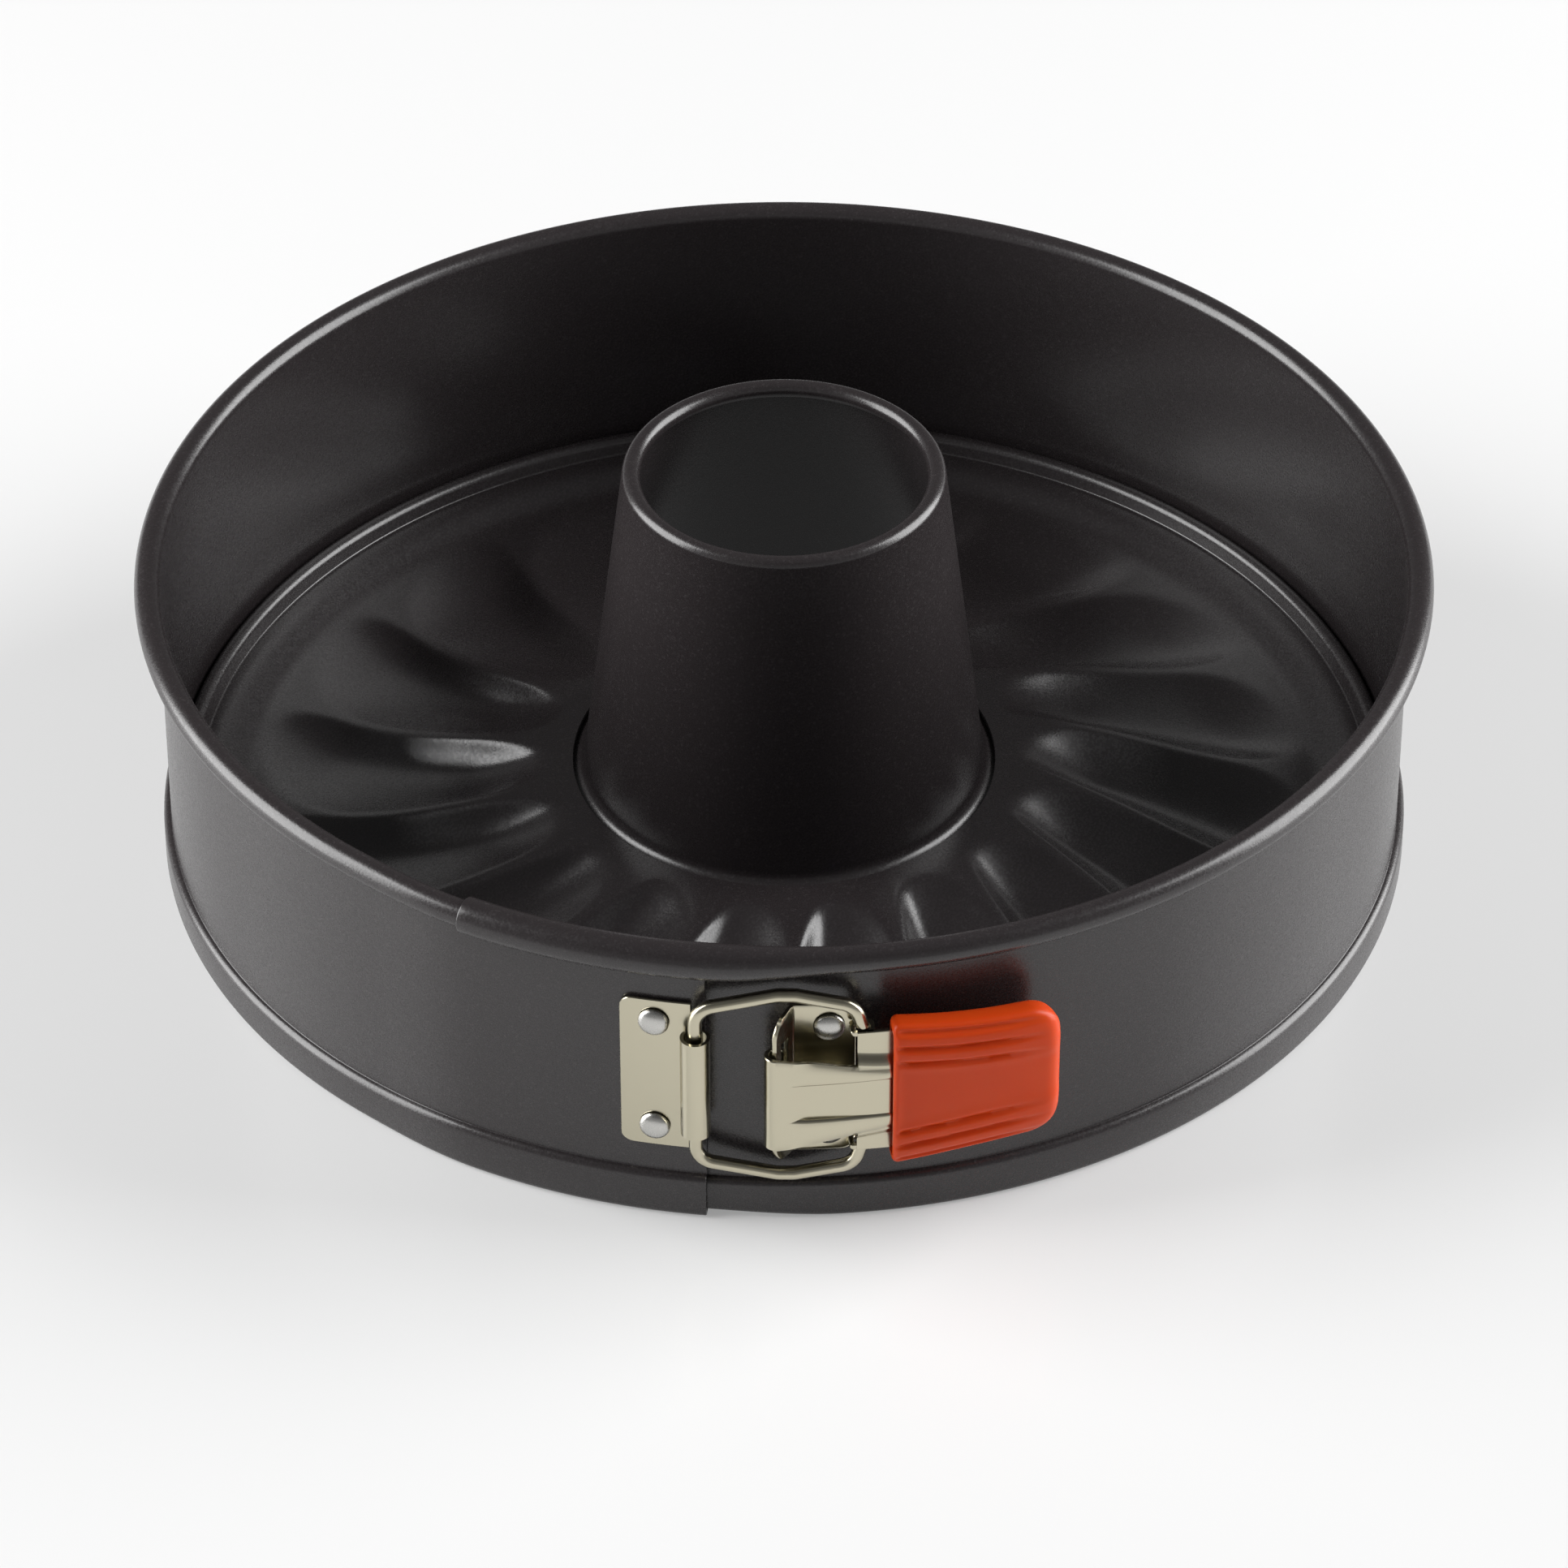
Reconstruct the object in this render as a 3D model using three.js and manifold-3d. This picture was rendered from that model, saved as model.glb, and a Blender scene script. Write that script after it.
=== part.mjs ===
// Springform ring cake pan: a sprung side ring with a wire clasp, and a fluted base with a centre tube.
// Millimetres, +Z up. The origin is on the pan's axis at the level of the ring's bottom edge.
// The clasp is at the front (-Y). Angles run from the front, positive towards +X.

import * as THREE from 'three';
import Module from 'manifold-3d';
import { mergeVertices } from 'three/addons/utils/BufferGeometryUtils.js';

const wasm = await Module();
wasm.setup();

// Clearance between pieces that touch on the real pan
const seatGap = 0.3;

// Side ring: one steel strip whose ends overlap at the front left
const bandSheet = 0.7;
const wallRadius = 131;
const ringHeight = 69.4;
const rimCurlRadius = 2.75;
const rimCurlEnd = -110;
const beadBulge = 1.6;
const beadHeight = 9.4;
const beadShoulder = 2.2;
const beadFillet = 1.2;
const lipWidth = 3.4;
const coveredEndAngle = -29.3;
const freeEndAngle = -6.7;
const joggleAngle = 12;
const bandStep = 7.2;

// Base: pressed disc with flutes between a flat land and the floor
const baseSheet = 0.8;
const edgeClearance = 0.6;
const edgeBeadHalfWidth = 2.3;
const edgeBeadTop = 13.8;
const edgeSlope = 2.7;
const floorLevel = 10.3;
const landLevel = 15.8;
const landWidth = 6;
const dishLevel = 6.8;
const dishReach = 50;
const fluteCount = 18;
const fluteDepth = 4.2;
const fluteMouth = 14;
const fluteTail = 14;
const fluteMargin = 10.3;
const fluteAngle = 4.5;
const fluteLean = 11.6;
const scoopBluntness = 3;

// Centre tube
const tubeSheet = 0.8;
const tubeTop = 90.7;
const tubeTopRadius = 33.75;
const tubeFootRadius = 42.6;
const tubeFootFillet = 3.2;
const tubeCurlRadius = 1.9;
const flangeMargin = 1.2;
const seamWidth = 0.8;

// Clasp, shared heights
const claspDrop = 1.55;
const plateHalfHeight = 18.5;
const plateCorner = 2.5;
const rivetHalfSpacing = 13.3;
const rivetHeadRadius = 2.9;
const rivetHeadHeight = 1.5;
const rivetShankRadius = 1.6;
const rivetTailRadius = 2.4;
const rivetTailHeight = 0.6;

// Hinge plate on the free end
const plateSheet = 0.7;
const plateLeft = -32.3;
const plateRight = -18.2;
const plateRivetAt = -25.4;
const barrelAt = -17.3;
const barrelRadius = 2.5;
const barrelHalfHeight = 12.1;

// Lever bracket on the covered end
const bracketSheet = 1;
const bracketRight = 12.7;
const bracketBend = 1.6;
const bracketRivetAt = 8.8;
const pivotAt = -1.4;
const pivotStandoff = 5.9;
const barHalfDepth = 1;
const earHalfHeight = 15.5;
const windowDepth = 2.6;

// Lever
const leverSheet = 1;
const knuckleRadius = 2.5;
const knuckleTail = -30;
const leverHalfHeight = 11.4;
const neckHalfHeight = 7.9;
const wingStart = 13.8;
const wingHalfHeight = 15;
const wingSetBack = 2.2;
const flankWidth = 2;
const creaseAt = 4.2;
const creaseWidth = 1.2;
const creaseDepth = 1;
const eyeAt = 14.9;
const eyeStandoff = 4.1;
const eyeTabHalfWidth = 2.5;
const eyeTabReach = 3.9;
const eyeRadius = 1.55;
const tongueEnd = 47;
const tongueHalfHeight = 12;

// Wire bail
const wireRadius = 1.3;
const wireBend = 3;
const bailShoulder = 19.2;
const bailRimGap = 3.5;
const bailPeakFrom = 16.2;
const bailPeakTo = 19.7;
const bailCorner = 20.2;
const bailCornerInset = 1.4;

// Silicone grip
const gripStart = 20.2;
const gripEnd = 53.4;
const gripStartHalfHeight = 18.9;
const gripEndHalfHeight = 16.4;
const gripThickness = 7.8;
const gripStandoff = 6.4;
const gripFlare = 1.2;
const gripRidges = 3;
const gripRidgePitch = 3.3;
const gripRidgeDepth = 0.5;
const gripEndRound = 5;

// Levels and radii that follow from the sizes above
const nest = bandSheet + seatGap;
const wallMid = wallRadius - bandSheet / 2;
const curlMid = rimCurlRadius - bandSheet / 2;
const curlLevel = ringHeight - rimCurlRadius;
const edgeLegRadius = wallRadius - bandSheet - edgeClearance - baseSheet / 2;
const edgeBeadRadius = edgeLegRadius - edgeBeadHalfWidth;
const floorRadius = edgeBeadRadius - edgeSlope;
const fluteEndRadius = floorRadius - fluteMargin;
const baseHoleRadius = tubeFootRadius + tubeFootFillet - seamWidth;
const landRadius = baseHoleRadius + landWidth;
const tubeFlange = landRadius - flangeMargin;
const rimBottom = ringHeight - 2 * rimCurlRadius;
const claspLevel = (beadHeight + beadShoulder + rimBottom) / 2 - claspDrop;
const bailPeak = rimBottom - bailRimGap - wireRadius - claspLevel;
const freeEndFace = wallRadius + nest;
const pivotRadius = wallRadius + pivotStandoff;
const eyeRadiusFromAxis = wallRadius + eyeStandoff;
const plateMid = freeEndFace + seatGap + plateSheet / 2;
const barrelMid = barrelRadius - plateSheet / 2;
const barrelAxisRadius = plateMid + barrelMid;
const bracketMid = wallRadius + seatGap + bracketSheet / 2;
const frontMid = pivotRadius + knuckleRadius - leverSheet / 2;
const wingMid = frontMid - wingSetBack;

const coated = new THREE.MeshStandardMaterial({ color: 0x2b2a2b, roughness: 0.42, metalness: 0.35 });
const nickel = new THREE.MeshStandardMaterial({ color: 0xc8c0a8, roughness: 0.28, metalness: 1 });
const aluminium = new THREE.MeshStandardMaterial({ color: 0xb4b6b8, roughness: 0.35, metalness: 1 });
const silicone = new THREE.MeshStandardMaterial({ color: 0xc8502a, roughness: 0.5, metalness: 0 });

const radians = THREE.MathUtils.degToRad;
const degrees = THREE.MathUtils.radToDeg;
const mix = THREE.MathUtils.lerp;
const smooth = THREE.MathUtils.smoothstep;

// A point at a radius, an angle from the front and a height
function around(radius, angle, level) {
  const turn = radians(angle);
  return new THREE.Vector3(radius * Math.sin(turn), -radius * Math.cos(turn), level);
}

// The angle at which a distance along the ring's wall lies
function alongWall(distance) {
  return degrees(distance / wallRadius);
}

// Evenly spaced numbers from one value to another, both included
function steps(from, to, count) {
  return Array.from({ length: count + 1 }, (_, i) => mix(from, to, i / count));
}

// Points on an arc in a plane
function arc(centreX, centreY, radius, from, to, count) {
  return steps(from, to, count).map((angle) => {
    const turn = radians(angle);
    return [centreX + radius * Math.cos(turn), centreY + radius * Math.sin(turn)];
  });
}

function indexed(points, triangles) {
  const geometry = new THREE.BufferGeometry();
  const flat = points.flatMap((p) => [p.x, p.y, p.z]);
  geometry.setAttribute('position', new THREE.Float32BufferAttribute(flat, 3));
  geometry.setIndex(triangles.flat());
  geometry.computeVertexNormals();
  return geometry;
}

// Sheet metal: a grid of points on the middle of the sheet, thickened to both sides
function sheet(grid, thickness, closed = false) {
  const rows = grid.length;
  const cols = grid[0].length;
  const outer = [];
  const inner = [];
  for (let i = 0; i < rows; i += 1) {
    const next = closed ? (i + 1) % rows : Math.min(i + 1, rows - 1);
    const last = closed ? (i + rows - 1) % rows : Math.max(i - 1, 0);
    for (let j = 0; j < cols; j += 1) {
      const along = grid[next][j].clone().sub(grid[last][j]);
      const across = grid[i][Math.min(j + 1, cols - 1)].clone().sub(grid[i][Math.max(j - 1, 0)]);
      const half = along.cross(across).setLength(thickness / 2);
      outer.push(grid[i][j].clone().add(half));
      inner.push(grid[i][j].clone().sub(half));
    }
  }
  const front = (i, j) => (i % rows) * cols + j;
  const rear = (i, j) => front(i, j) + rows * cols;
  const triangles = [];
  const quad = (a, b, c, d) => triangles.push([a, b, c], [a, c, d]);
  const last = cols - 1;
  for (let i = 0; i < (closed ? rows : rows - 1); i += 1) {
    for (let j = 0; j < last; j += 1) {
      quad(front(i, j), front(i + 1, j), front(i + 1, j + 1), front(i, j + 1));
      quad(rear(i, j), rear(i, j + 1), rear(i + 1, j + 1), rear(i + 1, j));
    }
    quad(front(i, 0), rear(i, 0), rear(i + 1, 0), front(i + 1, 0));
    quad(front(i, last), front(i + 1, last), rear(i + 1, last), rear(i, last));
  }
  if (!closed) {
    const end = rows - 1;
    for (let j = 0; j < last; j += 1) {
      quad(front(0, j), front(0, j + 1), rear(0, j + 1), rear(0, j));
      quad(front(end, j), rear(end, j), rear(end, j + 1), front(end, j + 1));
    }
  }
  return indexed([...outer, ...inner], triangles);
}

// A solid through closed loops of equal point count, with a fan over each end
function loft(loops) {
  const size = loops[0].length;
  const points = loops.flat();
  const triangles = [];
  for (let i = 0; i < loops.length - 1; i += 1) {
    for (let j = 0; j < size; j += 1) {
      const a = i * size + j;
      const b = i * size + ((j + 1) % size);
      triangles.push([a, b, b + size], [a, b + size, a + size]);
    }
  }
  const centre = (loop) => loop.reduce((sum, p) => sum.add(p), new THREE.Vector3()).divideScalar(size);
  const first = points.length;
  points.push(centre(loops[0]), centre(loops[loops.length - 1]));
  const start = (loops.length - 1) * size;
  for (let j = 0; j < size; j += 1) {
    const after = (j + 1) % size;
    triangles.push([first, after, j], [first + 1, start + j, start + after]);
  }
  return indexed(points, triangles);
}

function toSolid(geometry) {
  const bare = geometry.clone();
  bare.deleteAttribute('normal');
  bare.deleteAttribute('uv');
  const merged = mergeVertices(bare, 1e-4);
  const vertProperties = Float32Array.from(merged.attributes.position.array);
  const triVerts = Uint32Array.from(merged.index.array);
  return new wasm.Manifold(new wasm.Mesh({ numProp: 3, vertProperties, triVerts }));
}

function fromSolid(solid) {
  const mesh = solid.getMesh();
  const geometry = new THREE.BufferGeometry();
  geometry.setAttribute('position', new THREE.Float32BufferAttribute(mesh.vertProperties, 3));
  geometry.setIndex([...mesh.triVerts]);
  geometry.computeVertexNormals();
  return geometry;
}

function cut(geometry, tools) {
  return fromSolid(tools.reduce((solid, tool) => solid.subtract(toSolid(tool)), toSolid(geometry)));
}

// A round bar that points out of the ring's wall, between two radii
function radialBar(radius, angle, level, from, to, sides) {
  const bar = new THREE.CylinderGeometry(radius, radius, to - from, sides);
  bar.translate(0, -(from + to) / 2, level);
  bar.rotateZ(radians(angle));
  return bar;
}

function rivetHoles(distance, from, to) {
  const hole = rivetShankRadius + seatGap;
  return [-rivetHalfSpacing, rivetHalfSpacing].map((offset) =>
    radialBar(hole, alongWall(distance), claspLevel + offset, from, to, 12),
  );
}

// Middle line of the strip, from the lip's edge over bead and wall to the end of the rim's curl.
// stepOut moves the strip outwards, liftLip raises the lip, curl is the rim's curl radius.
function bandProfile(stepOut, liftLip, curl) {
  const wall = wallMid + stepOut;
  const bead = wall + beadBulge;
  const lipLevel = bandSheet / 2 + liftLip;
  const shoulder = beadHeight + stepOut;
  return [
    [wall + beadBulge - lipWidth, lipLevel],
    ...arc(bead - beadFillet, lipLevel + beadFillet, beadFillet, -90, 0, 2),
    [bead, shoulder - beadFillet],
    [bead - beadBulge / 4, shoulder],
    [wall, shoulder + beadShoulder],
    [wall, (shoulder + curlLevel) / 2],
    ...arc(wall + curl, curlLevel, curl, 180, rimCurlEnd, 6),
  ];
}

// The free end lies outside the covered end, and the covered end's rim curls over the free end's rim
function ringBand() {
  const end = 360 + freeEndAngle;
  const overlapStart = 360 + coveredEndAngle;
  const angles = [];
  for (let angle = coveredEndAngle; angle < end - bandStep / 2; angle += bandStep) {
    angles.push(angle);
  }
  angles.push(end);
  const grid = angles.map((angle) => {
    const outside = smooth(angle, overlapStart - joggleAngle, overlapStart);
    const covered = 1 - smooth(angle, freeEndAngle, freeEndAngle + joggleAngle);
    const profile = bandProfile(nest * outside, nest * covered, curlMid + nest * covered);
    return profile.map(([radius, level]) => around(radius, angle, level));
  });
  const holes = [
    ...rivetHoles(plateRivetAt, freeEndFace - bandSheet - seatGap / 2, freeEndFace + seatGap / 2),
    ...rivetHoles(bracketRivetAt, wallRadius - bandSheet - seatGap, wallRadius + seatGap),
  ];
  return cut(sheet(grid, bandSheet), holes);
}

// Height of the pressed floor: a dish falls from the land and climbs to the floor at the edge. The flutes are
// scoops side by side in it, with round ends. phase is the place between two ridges (0 on a crest, 0.5 midway).
function fluteLevel(radius, phase) {
  const fall = smooth(radius, landRadius - landWidth / 2, landRadius + dishReach);
  const climb = smooth(radius, fluteEndRadius, floorRadius);
  const crest = mix(mix(landLevel, dishLevel, fall), floorLevel, climb);
  const aside = Math.abs(1 - 2 * phase) ** scoopBluntness;
  const ahead = (Math.max(landRadius + fluteMouth - radius, 0) / fluteMouth) ** scoopBluntness;
  const behind = (Math.max(radius - fluteEndRadius + fluteTail, 0) / fluteTail) ** scoopBluntness;
  const rise = Math.min(aside + ahead + behind, 1) ** (2 / scoopBluntness);
  return crest - fluteDepth * (1 - rise) - baseSheet / 2;
}

// How far the flutes lean over at a radius
function swirlAngle(radius) {
  return (fluteLean * (radius - landRadius)) / (fluteEndRadius - landRadius);
}

// Edge of the base: a bead that stands up, a leg down beside the ring's wall and a foot in its groove
function baseEdge() {
  const footLevel = bandSheet + nest + seatGap + baseSheet / 2;
  const footRadius = wallRadius - bandSheet + beadBulge - edgeClearance;
  const beadLevel = edgeBeadTop - baseSheet / 2;
  const inside = 2 * edgeBeadRadius - edgeLegRadius;
  const toLeg = edgeLegRadius - edgeBeadRadius;
  return [
    [floorRadius, floorLevel - baseSheet / 2],
    [inside + toLeg * 0.2, (floorLevel + edgeBeadTop) / 2 - baseSheet / 2],
    [edgeBeadRadius - toLeg * 0.45, beadLevel - toLeg * 0.2],
    [edgeBeadRadius, beadLevel],
    [edgeBeadRadius + toLeg * 0.6, beadLevel - toLeg * 0.35],
    [edgeLegRadius, beadLevel - toLeg * 1.4],
    [edgeLegRadius, footLevel + beadFillet],
    [footRadius, footLevel],
  ];
}

function basePlate() {
  const shares = [0, 0.05, 0.11, 0.19, 0.34, 0.5, 0.68, 0.85, 1];
  const flutes = shares.map((share) => mix(landRadius, fluteEndRadius, share));
  const radii = [baseHoleRadius, ...flutes, mix(fluteEndRadius, floorRadius, 0.5)];
  const phases = [0, 0.13, 0.36, 0.64, 0.87];
  const pitch = 360 / fluteCount;
  const edge = baseEdge();
  const grid = [];
  for (let flute = 0; flute < fluteCount; flute += 1) {
    for (const phase of phases) {
      const angle = fluteAngle + (flute + phase) * pitch;
      const floor = radii.map((r) => around(r, angle - swirlAngle(r), fluteLevel(r, phase)));
      const rim = edge.map(([r, level]) => around(r, angle - swirlAngle(r), level));
      grid.push([...floor, ...rim]);
    }
  }
  return sheet(grid, baseSheet, true);
}

// Cone with a foot flange under the base's hole and an inward curl at the top
function centreTube() {
  const flangeLevel = landLevel - baseSheet - seatGap - tubeSheet / 2;
  const curl = tubeCurlRadius - tubeSheet / 2;
  const topMid = tubeTopRadius - tubeSheet / 2;
  const footMid = tubeFootRadius - tubeSheet / 2;
  const profile = [
    [tubeFlange, flangeLevel],
    ...arc(footMid + tubeFootFillet, flangeLevel + tubeFootFillet, tubeFootFillet, 270, 180, 3),
    ...arc(topMid - curl, tubeTop - tubeCurlRadius, curl, 0, 240, 5),
  ];
  const turns = steps(0, 360, 36).slice(0, -1);
  const grid = turns.map((angle) => profile.map(([radius, level]) => around(radius, angle, level)));
  return sheet(grid, tubeSheet, true);
}

// Sheet bent along a plan line: each station is a point in plan with half the sheet's height there
function bentSheet(stations, thickness) {
  const grid = stations.map(({ at, half }) =>
    [-half, 0, half].map((offset) => at.clone().setZ(claspLevel + offset)),
  );
  return sheet(grid, thickness);
}

// Half height of a plate near an end with rounded corners
function roundedHalf(fromEnd) {
  const inside = Math.max(plateCorner - fromEnd, 0);
  return plateHalfHeight - plateCorner + Math.sqrt(plateCorner ** 2 - inside ** 2);
}

// A plan point given beside another one: to the right along the wall, and outwards
function beside(origin, right, outwards) {
  const turn = Math.atan2(origin.x, -origin.y);
  const x = origin.x + right * Math.cos(turn) + outwards * Math.sin(turn);
  const y = origin.y + right * Math.sin(turn) - outwards * Math.cos(turn);
  return new THREE.Vector3(x, y, 0);
}

const pivot = around(pivotRadius, alongWall(pivotAt), claspLevel);
const barrelAxis = around(barrelAxisRadius, alongWall(barrelAt), claspLevel);
const eye = around(eyeRadiusFromAxis, alongWall(eyeAt), claspLevel);

function hingePlate() {
  const corner = [0, 0.3, 1.2, plateCorner].map((inset) => ({
    at: around(plateMid, alongWall(plateLeft + inset), 0),
    half: roundedHalf(inset),
  }));
  const flat = [plateRivetAt, plateRight].map((distance) => ({
    at: around(plateMid, alongWall(distance), 0),
    half: plateHalfHeight,
  }));
  const barrel = arc(0, 0, barrelMid, -90, 212, 10).map(([right, outwards]) => ({
    at: beside(barrelAxis, right, outwards),
    half: barrelHalfHeight,
  }));
  const neck = { at: around(plateMid, alongWall(plateRight + 0.3), 0), half: barrelHalfHeight };
  const plate = bentSheet([...corner, ...flat, neck, ...barrel], plateSheet);
  return cut(plate, rivetHoles(plateRivetAt, plateMid - plateSheet, plateMid + plateSheet));
}

// Plate on the wall, and a flange leaning out to the lever's hinge bar, with a window behind the bar
function leverBracket() {
  const root = around(bracketMid, alongWall(bracketBend), 0);
  const flange = pivot.clone().setZ(0).sub(root);
  const reach = flange.length();
  const onFlange = (distance) => root.clone().addScaledVector(flange, distance / reach);
  const corner = [0, 0.3, 1.2, plateCorner].map((inset) => ({
    at: around(bracketMid, alongWall(bracketRight - inset), 0),
    half: roundedHalf(inset),
  }));
  const bendSize = 1;
  const flat = [bracketRivetAt, bracketBend + bendSize].map((distance) => ({
    at: around(bracketMid, alongWall(distance), 0),
    half: plateHalfHeight,
  }));
  const ear = [bendSize, reach * 0.45, reach * 0.75, reach, reach + barHalfDepth].map((distance) => ({
    at: onFlange(distance),
    half: mix(plateHalfHeight, earHalfHeight, smooth(distance, bendSize, reach)),
  }));
  const plate = bentSheet([...corner, ...flat, ...ear], bracketSheet);
  const windowHeight = 2 * (leverHalfHeight + 2 * seatGap);
  const opening = new THREE.BoxGeometry(windowDepth, 3 * bracketSheet, windowHeight);
  opening.rotateZ(Math.atan2(flange.y, flange.x));
  const middle = onFlange(reach - barHalfDepth - windowDepth / 2);
  opening.translate(middle.x, middle.y, claspLevel);
  const holes = rivetHoles(bracketRivetAt, bracketMid - bracketSheet, bracketMid + bracketSheet);
  return cut(plate, [opening, ...holes]);
}

// Half height of the lever's raised front, which narrows towards the grip
function frontHalf(distance) {
  return mix(leverHalfHeight, neckHalfHeight, smooth(distance, bracketBend, gripStart));
}

// Half height of the tongue that runs on from the wings into the grip
function tongueHalf(distance) {
  return mix(wingHalfHeight, tongueHalfHeight, smooth(distance, gripStart, tongueEnd));
}

// Radius of the middle of the lever's sheet, at a distance along the wall and an offset from mid height
function leverRadius(distance, offset) {
  const raised = 1 - smooth(distance, gripStart - 1, gripStart + 5);
  const crease = creaseDepth * smooth(distance, bracketBend - 2, gripStart);
  const beyondCrease = smooth(Math.abs(offset), creaseAt, creaseAt + creaseWidth);
  const front = mix(wingMid, frontMid - crease * beyondCrease, raised);
  const edge = distance < wingStart ? Infinity : frontHalf(distance);
  return mix(front, wingMid, smooth(Math.abs(offset), edge, edge + flankWidth));
}

// Heights at which the lever's sheet bends, out from mid height
function leverOffsets(distance) {
  const creases = [0, creaseAt, creaseAt + creaseWidth];
  if (distance < wingStart) {
    const plain = [0.5, 0.75, 1].map((share) => mix(creaseAt, leverHalfHeight, share));
    return [...creases, ...plain];
  }
  const front = frontHalf(distance);
  return [...creases, front, front + flankWidth, tongueHalf(distance)];
}

// Places along the tongue at which its sheet and its pocket in the grip are drawn
const tongueStations = [0, 0.1, 0.2, 0.6, 1].map((share) => mix(gripStart, tongueEnd, share));

// Both sides of mid height from one side's offsets
function mirrored(offsets) {
  return [...offsets.slice(1).reverse().map((offset) => -offset), ...offsets];
}

function leverPlate() {
  const knuckleMid = knuckleRadius - leverSheet / 2;
  const roll = arc(0, 0, knuckleMid, knuckleTail, -270, 8).slice(0, -1);
  const knuckle = roll.map(([right, outwards]) =>
    mirrored(leverOffsets(pivotAt)).map((offset) =>
      beside(pivot, right, outwards).setZ(claspLevel + offset),
    ),
  );
  const front = [0, 0.35, 0.7, 0.97].map((share) => mix(pivotAt, wingStart, share));
  const neck = [0, 0.3, 0.6].map((share) => mix(wingStart, gripStart, share));
  const plate = [...front, ...neck, ...tongueStations].map((distance) =>
    mirrored(leverOffsets(distance)).map((offset) =>
      around(leverRadius(distance, offset), alongWall(distance), claspLevel + offset),
    ),
  );
  return sheet([...knuckle, ...plate], leverSheet);
}

// Tabs turned in from the wings' edges, with the holes for the wire's tips
function lever() {
  const turn = radians(alongWall(eyeAt));
  let solid = toSolid(leverPlate());
  for (const side of [-1, 1]) {
    const level = claspLevel + side * (wingHalfHeight - leverSheet / 2);
    const tab = new THREE.BoxGeometry(2 * eyeTabHalfWidth, eyeTabReach, leverSheet);
    tab.translate(0, eyeTabReach / 2 - wingMid, level);
    tab.rotateZ(turn);
    const hole = new THREE.CylinderGeometry(eyeRadius, eyeRadius, 3 * leverSheet, 12);
    hole.rotateX(Math.PI / 2);
    hole.translate(eye.x, eye.y, level);
    solid = solid.add(toSolid(tab)).subtract(toSolid(hole));
  }
  return fromSolid(solid);
}

// Points along a line whose corners are rounded to a bend radius
function roundedLine(corners, bend) {
  const line = [corners[0]];
  for (let i = 1; i < corners.length - 1; i += 1) {
    const before = corners[i - 1].clone().sub(corners[i]).normalize();
    const after = corners[i + 1].clone().sub(corners[i]).normalize();
    const half = before.angleTo(after) / 2;
    const inset = bend / Math.tan(half);
    const centre = corners[i].clone().add(before.clone().add(after).setLength(bend / Math.sin(half)));
    const from = corners[i].clone().addScaledVector(before, inset).sub(centre);
    const to = corners[i].clone().addScaledVector(after, inset).sub(centre);
    const sweep = from.cross(to) > 0 ? from.angleTo(to) : -from.angleTo(to);
    const count = Math.max(2, Math.round(degrees(Math.abs(sweep)) / 18));
    for (const turn of steps(0, sweep, count)) {
      line.push(from.clone().rotateAround(new THREE.Vector2(), turn).add(centre));
    }
  }
  line.push(corners[corners.length - 1]);
  return line;
}

// Wire loop in one upright plane through the barrel's axis and the lever's eyes. Its tips stop at the tabs.
function wireBail() {
  const reach = eye.clone().sub(barrelAxis);
  const length = reach.length();
  const outwards = reach.clone().normalize();
  const tip = wingHalfHeight + seatGap;
  const upper = [
    new THREE.Vector2(length, tip),
    new THREE.Vector2(length - bailCornerInset, bailCorner),
    new THREE.Vector2(bailPeakTo, bailPeak),
    new THREE.Vector2(bailPeakFrom, bailPeak),
    new THREE.Vector2(0, bailShoulder),
  ];
  const lower = upper.map((corner) => new THREE.Vector2(corner.x, -corner.y)).reverse();
  const line = roundedLine([...upper, ...lower], wireBend);
  const aside = new THREE.Vector3(outwards.y, -outwards.x, 0);
  const place = (p) => barrelAxis.clone().addScaledVector(outwards, p.x).setZ(claspLevel + p.y);
  const loops = line.map((p, i) => {
    const ahead = line[Math.min(i + 1, line.length - 1)];
    const behind = line[Math.max(i - 1, 0)];
    const along = ahead.clone().sub(behind).normalize();
    const level = i === 0 || i === line.length - 1;
    const normal = level ? new THREE.Vector2(-1, 0) : new THREE.Vector2(-along.y, along.x);
    const side = outwards.clone().multiplyScalar(normal.x).setZ(normal.y);
    return steps(0, 360, 8)
      .slice(0, -1)
      .map((angle) => {
        const turn = radians(angle);
        return place(p)
          .addScaledVector(side, wireRadius * Math.cos(turn))
          .addScaledVector(aside, wireRadius * Math.sin(turn));
      });
  });
  return loft(loops);
}

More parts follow.
